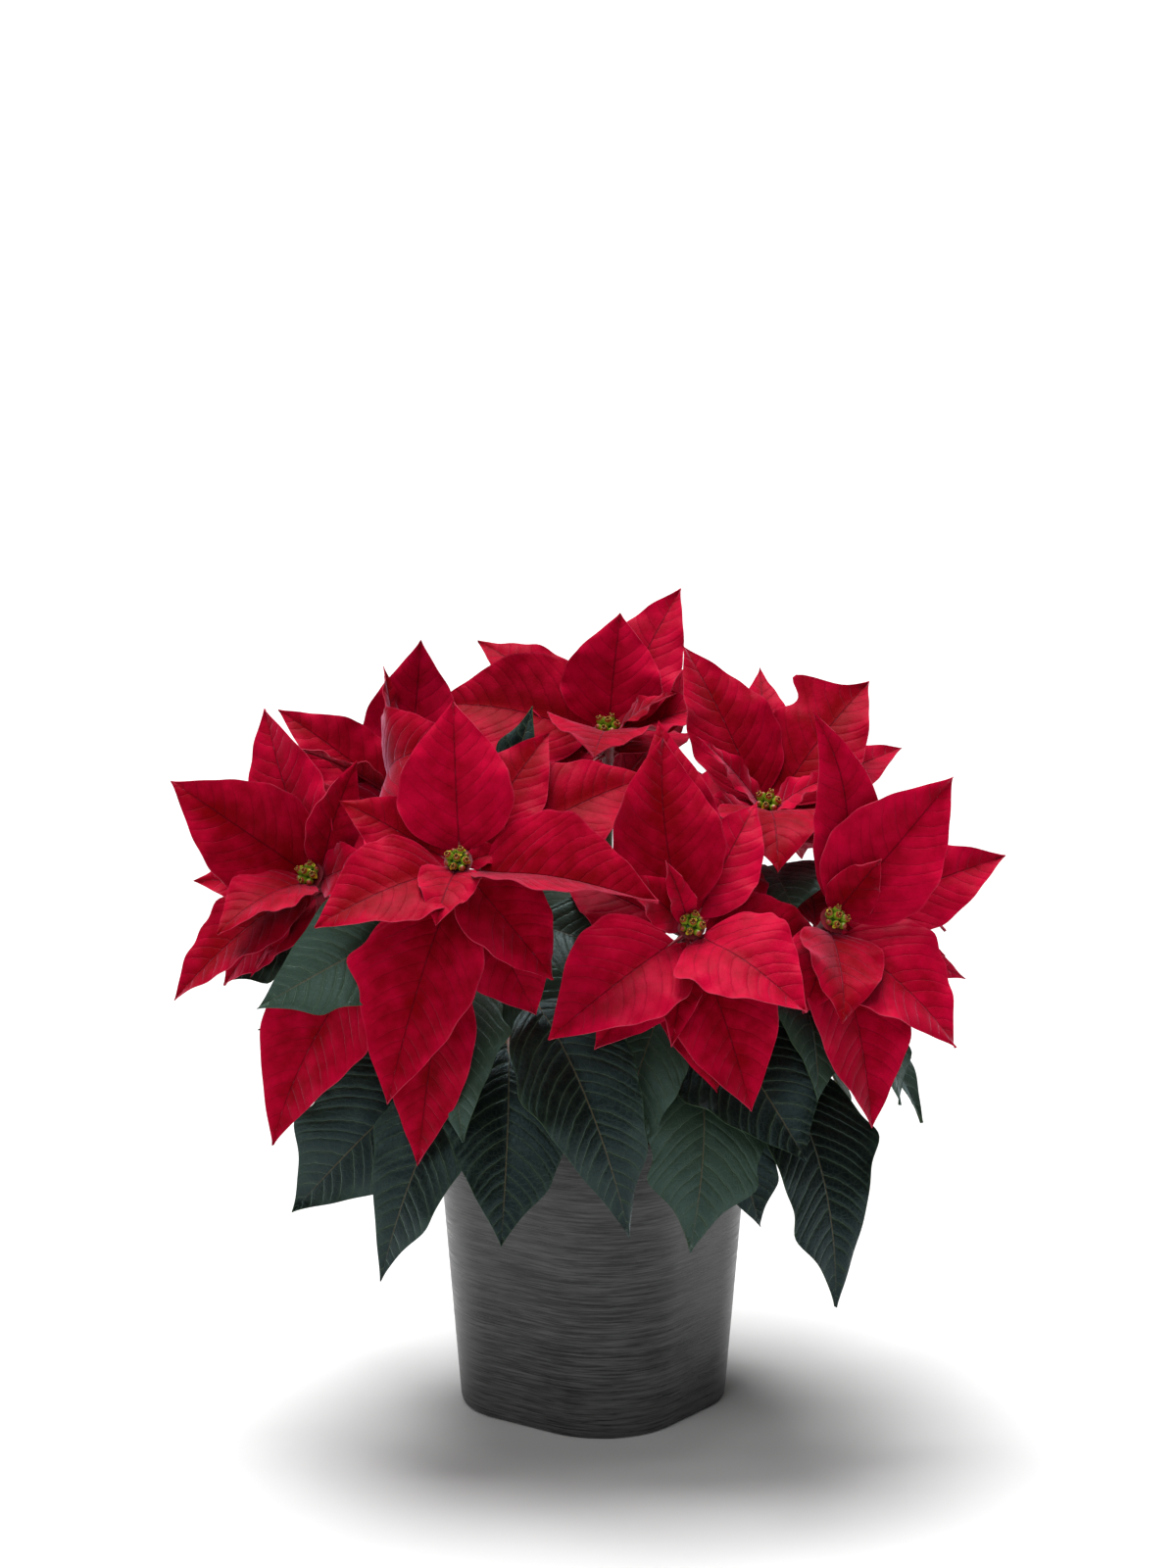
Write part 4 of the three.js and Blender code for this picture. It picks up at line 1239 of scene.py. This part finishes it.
# ---- pieces
@dataclass
class Head:
    """A flower head: its whorl of bracts on a red hub."""

    plan: HeadPlan
    hub_sides: int = 14
    hub_rows: int = 16

    def bracts(self) -> list[Blade]:
        """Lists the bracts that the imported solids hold, as they lie there."""
        ruled = (SKIRT if self.plan.bracts else WHOLE_WHORL).entries(self.plan.axis)
        planned = [self.bract(vec(offset), width, changes, i) for entries in (self.plan.bracts, ruled)
                   for i, (offset, width, changes) in enumerate(entries)]
        return Corners(f"bracts_{self.plan.name}").settle(planned)

    def bract(self, offset: Array, width: float, changes: Changes, index: int) -> Blade:
        """Plans one bract.

        Args:
            offset: Its tip from the head's centre.
            width: Its width.
            changes: What differs from a plain bract.
            index: Its place in its list, which sets how its edge waves.

        Returns:
            The bract.
        """
        values = {**PLAIN_BRACT, **changes}
        low = values.pop("low", 0) or mix(*FOOT_LOWS, min(1.0, float(np.linalg.norm(offset)) / LONG_BRACT))
        facing = vec(values.pop("facing", self.plan.axis))
        foot = self.plan.middle - self.plan.axis * low
        return Blade(BladeKind.BRACT, foot, self.plan.middle + offset, facing, width, index * GOLDEN_ANGLE,
                     **values)

    def hub(self) -> Item:
        """Makes the red top of the stem, a little ridged where bracts leave it."""
        t = np.linspace(0, 1, self.hub_rows)
        path = self.plan.middle - self.plan.axis * (HUB_LENGTH * (1 - t))[:, None]
        grown = HUB_FOOT + HUB_GROWTH * t + HUB_RIDGE * np.sin(HUB_RIDGES * t)
        radii = HUB_RADIUS * grown + HUB_FLARE * t**8
        return tube(path, radii, self.hub_sides, Stalk.HUB)

    def build(self) -> None:
        """Makes the bracts and puts them in place."""
        name = self.plan.name
        fit_blades(f"red_bracts_{name}", self.bracts(), self.hub(), f"bracts_{name}")


@dataclass
class LeafyStem:
    """A head's green stem with its leaves."""

    plan: HeadPlan
    ring: list[Blade] = field(default_factory=list)
    sides: int = 12
    rows: int = 48
    knot: float = 0.28  # how much thicker the stem is where a leaf leaves it
    knot_reach: float = 3.5

    def leaf(self, at: float, tip: Place, width: float, changes: Changes, index: int) -> Blade:
        """Plans one leaf.

        Args:
            at: How far up the stem it leaves.
            tip: Its tip.
            width: Its width.
            changes: What differs from a plain leaf.
            index: Its place in its list, which sets how its edge waves.

        Returns:
            The leaf.
        """
        values = {**PLAIN_LEAF, **changes}
        end = vec(tip)
        facing = vec(values.pop("facing", unit(end * (1, 1, 0)) + UP))
        foot = self.plan.stem(vec([at]))[0]
        return Blade(BladeKind.LEAF, foot, end, facing, width, index * GOLDEN_ANGLE, **values)

    def leaves(self) -> list[Blade]:
        """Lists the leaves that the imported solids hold, as they lie there."""
        own = [entry[1:] for entry in LEAVES if entry[0] == self.plan.name]
        planned = [self.leaf(*entry, index=i) for i, entry in enumerate(own)] + self.ring
        return Corners(f"leafy_stem_{self.plan.name}").settle(planned)

    def stem(self, leaves: Sequence[Blade]) -> Item:
        """Makes the stem, with a knot where each leaf leaves it.

        Args:
            leaves: The leaves.

        Returns:
            The stem.
        """
        path = self.plan.stem(np.linspace(0, 1, self.rows))
        swell = np.zeros(self.rows)
        for leaf in leaves:
            swell = swell + np.exp(-((np.linalg.norm(path - leaf.foot, axis=1) / self.knot_reach) ** 2))
        radii = STEM_RADIUS * (1 + self.knot * np.minimum(1, swell))
        return tube(path, radii, self.sides, Stalk.GREEN)

    def build(self) -> None:
        """Makes the stem with its leaves and puts it in place."""
        leaves = self.leaves()
        name = self.plan.name
        fit_blades(f"green_leaves_{name}", leaves, self.stem(leaves), f"leafy_stem_{name}")


def hang_rings(stems: Sequence[LeafyStem]) -> None:
    """Gives each stem the leaves by rule that hang from it.

    Args:
        stems: The leafy stems.
    """
    for ring in RINGS:
        for i in range(ring.count):
            angle = math.radians(mix(ring.start, ring.end, (i + 0.5) / ring.count))
            uneven = math.sin(i * GOLDEN_ANGLE)
            reach = ring.reach * (1 + UNEVEN_REACH * uneven)
            tip = (reach * math.cos(angle), reach * math.sin(angle), ring.height + UNEVEN_HEIGHT * uneven)
            at = ring.at + UNEVEN_AT * uneven
            gaps = [np.linalg.norm(stem.plan.stem(vec([at]))[0] - tip) for stem in stems]
            nearest = stems[int(np.argmin(gaps))]
            nearest.ring.append(nearest.leaf(at, tip, ring.width, {"arch": ring.arch}, i))


@dataclass(frozen=True)
class BudRing:
    """A ring of leaning buds round a head's middle: how they sit, and how they differ by turns."""

    ahead: float  # of the first bud, in gaps between two
    out: float
    up: float
    lean: float
    spin: float  # from bud to bud, radians
    size: float
    turns: int  # after how many buds the first one's like comes again
    more_up: float  # what each turn adds
    more_size: float


BUD_RINGS = (
    BudRing(0.0, 2.9, 0.4, 0.45, 1.9, 0.94, 2, 0.3, 0.06),
    BudRing(0.5, 3.5, 1.0, 0.9, 1.3, 0.62, 3, 0.0, 0.12),
)


@dataclass
class Cyathia:
    """The buds in the middle of a head.

    They stand on a cushion: one in the middle, a ring of leaning ones, and a small one in each of its gaps.
    """

    plan: HeadPlan
    pattern: Item
    small: Item

    def cushion(self) -> Item:
        """Makes the cushion at the origin."""
        side, top = CUSHION_RADIUS - CUSHION_EDGE, CUSHION_HEIGHT - CUSHION_EDGE
        profile = [(0, 0), (CUSHION_RADIUS, 0), *arc(side, top, CUSHION_EDGE, 0, 90, 4), (0, CUSHION_HEIGHT)]
        cushion, _, height, _ = lathed(profile, 20, Bud.CUP)
        mark(cushion, "blade", height * 0, height * 0.02, height * 0)
        return cushion

    def build(self) -> None:
        """Copies the buds to their seats and puts the cluster in place."""
        axis = self.plan.axis
        base = self.plan.middle + axis * CLEARANCE
        first = flatten(vec((0.3, 0.2, 1.0)), axis)
        cushion = self.cushion()
        parts = [copied(cushion, base, axis), copied(self.pattern, base + axis, axis, 0.7)]
        for i in range(BUD_COUNT):
            for ring, bud in zip(BUD_RINGS, (self.pattern, self.small)):
                way = turned(first, axis, math.tau * (i + ring.ahead) / BUD_COUNT)
                turn = i % ring.turns
                seat = base + way * ring.out + axis * (ring.up + ring.more_up * turn)
                size = ring.size + ring.more_size * turn
                parts.append(copied(bud, seat, unit(axis + way * ring.lean), ring.spin * i, size))
        bpy.data.objects.remove(cushion)
        name = self.plan.name
        fit(joined(parts, f"cyathia_cups_{name}"), f"cyathia_{name}", 60)


@dataclass
class BudPattern:
    """The bud that every cluster copies: a ribbed cup and, when it is open, its stamens and nectar gland."""

    is_open: bool
    sides: int = 18
    ribs: int = 5
    stamens: int = 6

    def cup(self) -> Item:
        """Makes the cup, toothed at its mouth, or closed while the bud is young."""
        profile = [(0, 0), (0.9, 0.1), (1.5, 1.0), (2.05, 2.2), (2.3, 3.5), (2.2, 4.7), (1.8, 5.8)]
        if self.is_open:
            profile += [(1.55, 6.4), (1.5, 6.9), (1.2, 6.8), (1.05, 6.1), (0.8, 5.5), (0, 5.4)]
        else:
            profile += [(1.2, 6.4), (0.55, 6.75), (0, 6.8)]
        cup, radius, height, angle = lathed(profile, self.sides, Bud.CUP)
        wave = np.cos(self.ribs * angle)
        teeth = 0.3 * wave * np.clip(height - 6.1, 0, 1) * self.is_open
        move(cup, around(radius * (1 + 0.05 * wave * (radius > 0)), angle, height + teeth))
        mark(cup, "blade", radius, height / BUD_HEIGHT, angle)
        return cup

    def gland(self) -> Item:
        """Makes the yellow, two-lipped nectar gland on the cup's shoulder."""
        profile = [(0, -0.7), (0.7, -0.6), (1.05, -0.15), (1.2, 0.3), (0.95, 0.5), (0.65, 0.25), (0, 0.1)]
        gland, radius, height, _ = lathed(profile, 12, Bud.GLAND)
        mark(gland, "blade", radius, (height + 1) / 2, radius)
        move(gland, read(gland) * (1.25, 0.85, 1.0))
        seated = copied(gland, vec((1.95, 0, 4.9)), vec((1.0, 0, 0.8)), math.pi / 2)
        bpy.data.objects.remove(gland)
        return seated

    def stamen(self, number: int) -> Item:
        """Makes a red thread with a yellow knob, out of the cup's mouth.

        Args:
            number: Its place in the ring of stamens.

        Returns:
            The stamen.
        """
        t = np.linspace(0, 1, 7)
        bearing = math.tau * (number + 0.3) / self.stamens
        out = vec((math.cos(bearing), math.sin(bearing), 0.0))
        rise = 5.3 + (1.7 + 0.3 * (number % 3)) * t
        radii = 0.16 + 0.26 * np.exp(-(((t - 0.93) / 0.1) ** 2))
        return tube(out * (0.5 + 0.7 * t**2)[:, None] + UP * rise[:, None], radii, 6, Bud.STAMEN)

    def build(self) -> Item:
        """Makes the whole bud at the origin."""
        parts = [self.cup()]
        if self.is_open:
            parts += [self.gland(), *map(self.stamen, range(self.stamens))]
        return joined(parts, "bud_pattern")


def square_radius(angle: Array) -> Array:
    """Gives a rounded square with half side 1.

    Args:
        angle: Bearings in radians.

    Returns:
        Its distance from the centre at each bearing.
    """
    quarter = math.pi / 2
    off = np.abs(angle - quarter * np.rint(angle / quarter))
    straight = 1 - POT_CORNER
    along = straight * (np.cos(off) + np.sin(off))
    inner = np.maximum(0, along**2 - 2 * straight**2 + POT_CORNER**2)
    return np.where(np.tan(off) <= straight, 1 / np.cos(off), along + np.sqrt(inner))


def half_side(height: float) -> float:
    """Returns half the side of the planter's outside at a height."""
    return mix(POT_FOOT_HALF, POT_RIM_HALF, height / POT_HEIGHT)


def squared(profile: Profile, sides: int, finish: Finish, name: str) -> Item:
    """Makes a shape like a lathed one, pushed out to the planter's rounded square.

    Args:
        profile: Half side and height of each point, from the bottom of the axis to its top, outside first.
        sides: Faces round it.
        finish: Its finish.
        name: Its name.

    Returns:
        The shape.
    """
    body, radius, height, angle = lathed(profile, sides, finish)
    swell = POT_BOW * np.cos(2 * angle) ** 2 * np.sin(math.pi * height / POT_HEIGHT) * radius / POT_RIM_HALF
    move(body, around(radius * square_radius(angle) + swell, angle + POT_TURN, height))
    return joined([body], name)


@dataclass
class Planter:
    """The dark planter, a rounded square that tapers to its foot."""

    sides: int = 160
    rows: int = 30
    lip: float = 0.9  # rounding of the rim

    def build(self) -> None:
        """Makes the planter and puts it in place."""
        inside = [(half_side(h) - POT_WALL, h) for h in np.linspace(POT_HEIGHT - 2, POT_FLOOR, 8)]
        wall = [(half_side(h), h) for h in np.linspace(POT_EDGE + 1, POT_HEIGHT - 1.5, self.rows)]
        bend = POT_EDGE - 0.4
        foot = arc(half_side(POT_EDGE) - bend - 0.3, bend, bend, -88, -6, 7)
        outer, inner = half_side(POT_HEIGHT) - 0.1, half_side(POT_HEIGHT) - POT_WALL
        lip, top = self.lip, POT_HEIGHT - self.lip
        rim = arc(outer - lip, top, lip, 0, 90, 4) + arc(inner + lip, top, lip, 90, 180, 4)
        under = [(0, 0), (20, 0), (40, 0), (foot[0][0] - 2, 0)]
        profile = [*under, *foot, *wall, *rim, *inside, (30, POT_FLOOR), (0, POT_FLOOR)]
        fit(squared(profile, self.sides, PotFinish(), "planter"), "pot", 40)


@dataclass
class Soil:
    """The potting soil, uneven and crumbly on top, with loose crumbs pressed into it."""

    sides: int = 120
    rings: int = 40
    crumbs: int = 160
    sink: float = 0.6  # how far the uneven top lies under the planned one
    margin: float = 4.0  # how far the crumbs stay from the planter

    def crumb(self, number: int, reach: float) -> Item:
        """Makes a loose crumb.

        Args:
            number: Its place among the crumbs, from the middle outwards.
            reach: How far out the last of them lies.

        Returns:
            The crumb, its place in its mesh.
        """
        out = reach * math.sqrt((number + 0.5) / self.crumbs)
        bearing = number * GOLDEN_ANGLE
        at = [c * MM for c in (out * math.cos(bearing), out * math.sin(bearing), SOIL_TOP + 0.2)]
        size = (1.1 + 0.9 * math.sin(7.0 * number) ** 2) * MM
        choose()
        bpy.ops.mesh.primitive_ico_sphere_add(subdivisions=1, radius=size, location=at)
        bpy.ops.object.transform_apply(location=True, rotation=False, scale=False)
        crumb = bpy.context.active_object
        crumb.data.materials.append(material_of(SoilFinish()))
        return crumb

    def build(self) -> None:
        """Makes the soil and puts it in place."""
        foot, edge = (half_side(h) - POT_WALL - CLEARANCE for h in (POT_FLOOR, SOIL_TOP))
        floor = POT_FLOOR + CLEARANCE
        top = [(edge * (1 - i / self.rings), SOIL_TOP) for i in range(1, self.rings + 1)]
        profile = [(0, floor), (foot - 1, floor), (edge - 0.5, SOIL_TOP - 1), *top]
        name = "soil_surface"
        soil = squared(profile, self.sides, SoilFinish(), name)
        points = read(soil)
        x, y, z = points.T
        bumps = sum(high * np.sin(across * x + along * y + start) * np.sin(other * y + ahead)
                    for high, across, along, start, other, ahead in SOIL_WAVES)
        points[:, 2] = z + np.where(z > SOIL_TOP - 2, bumps - self.sink, 0)
        move(soil, points)
        crumbs = [self.crumb(i, edge - self.margin) for i in range(self.crumbs)]
        fit(joined([soil, *crumbs], name), "soil")


@dataclass
class MainStem:
    """A cutting's woody stem, ringed with old leaf scars."""

    plant: Plant
    sides: int = 20
    rows: int = 60
    scars: int = 7

    def build(self) -> None:
        """Makes the stem and puts it in place."""
        t = np.linspace(0, 1, self.rows)
        rings = np.abs(np.sin(math.pi * self.scars * t)) ** 12
        radii = MAIN_STEM_RADIUS * (0.97 + 0.09 * rings)
        name = self.plant.name.lower()
        stem = tube(self.plant.main_stem(t), radii, self.sides, Stalk.WOOD)
        fit(joined([stem], f"woody_stem_{name}"), f"main_stem_{name}")


# ---- studio
@dataclass(frozen=True)
class Panel:
    """A wide soft light, far off: the way it shines, its spread in degrees, and its strength."""

    name: str
    towards: Place
    spread: float
    strength: float

    def hang(self) -> None:
        """Hangs the light."""
        bpy.ops.object.light_add(type="SUN", location=(0, 0, 3))
        lamp = bpy.context.active_object
        lamp.name = self.name
        lamp.data.angle = math.radians(self.spread)
        lamp.data.energy = self.strength
        lamp.rotation_euler = Vector(self.towards).to_track_quat("-Z", "Y").to_euler()


@dataclass
class Studio:
    """A pale floor, soft lights and the camera."""

    camera_at: Place = (-0.00306, -3.0, 1.074)
    camera_pitch: float = 13.45  # degrees below the horizon
    frame_pixels: float = 1600.0  # long side of the picture
    focal_pixels: float = 5692.0
    sensor: float = 36.0  # mm
    floor_size: float = 60.0
    sky: float = 0.045
    panels: tuple[Panel, ...] = (
        Panel("overhead", (0.10, -0.22, -1.0), 42.0, 5.3),
        Panel("front", (0.35, 0.90, -0.80), 45.0, 0.9),
    )

    def build(self) -> None:
        """Makes the studio."""
        self.floor()
        for panel in self.panels:
            panel.hang()
        self.camera()
        scene = bpy.context.scene
        scene.view_settings.view_transform = "Standard"
        scene.world = scene.world or bpy.data.worlds.new("studio")
        scene.world.use_nodes = True
        background = scene.world.node_tree.nodes["Background"]
        background.inputs["Color"].default_value = (1.0, 1.0, 1.0, 1.0)
        background.inputs["Strength"].default_value = self.sky

    def floor(self) -> None:
        """Lays the floor."""
        choose()
        bpy.ops.mesh.primitive_plane_add(size=self.floor_size, location=(0, 0, 0))
        floor = bpy.context.active_object
        floor.name = "studio_floor"
        floor.data.materials.append(material_of(PlainFinish()))

    def camera(self) -> None:
        """Sets up the camera."""
        tilt = (math.radians(90 - self.camera_pitch), 0, 0)
        bpy.ops.object.camera_add(location=self.camera_at, rotation=tilt)
        eye = bpy.context.active_object
        eye.name = "camera"
        eye.data.sensor_width = self.sensor
        eye.data.lens = self.sensor * self.focal_pixels / self.frame_pixels
        bpy.context.scene.camera = eye


def main() -> None:
    """Builds every piece of the plant and the studio, and notes the sizes."""
    Studio().build()
    Planter().build()
    Soil().build()
    for plant in Plant:
        MainStem(plant).build()
    stems = [LeafyStem(plan) for plan in HEADS]
    hang_rings(stems)
    buds = [BudPattern(is_open).build() for is_open in (True, False)]
    for plan, stem in zip(HEADS, stems):
        Head(plan).build()
        stem.build()
        Cyathia(plan, *buds).build()
    for bud in buds:
        bpy.data.objects.remove(bud)


if __name__ == "__main__":
    logging.basicConfig(level=logging.INFO, format="%(message)s")
    main()
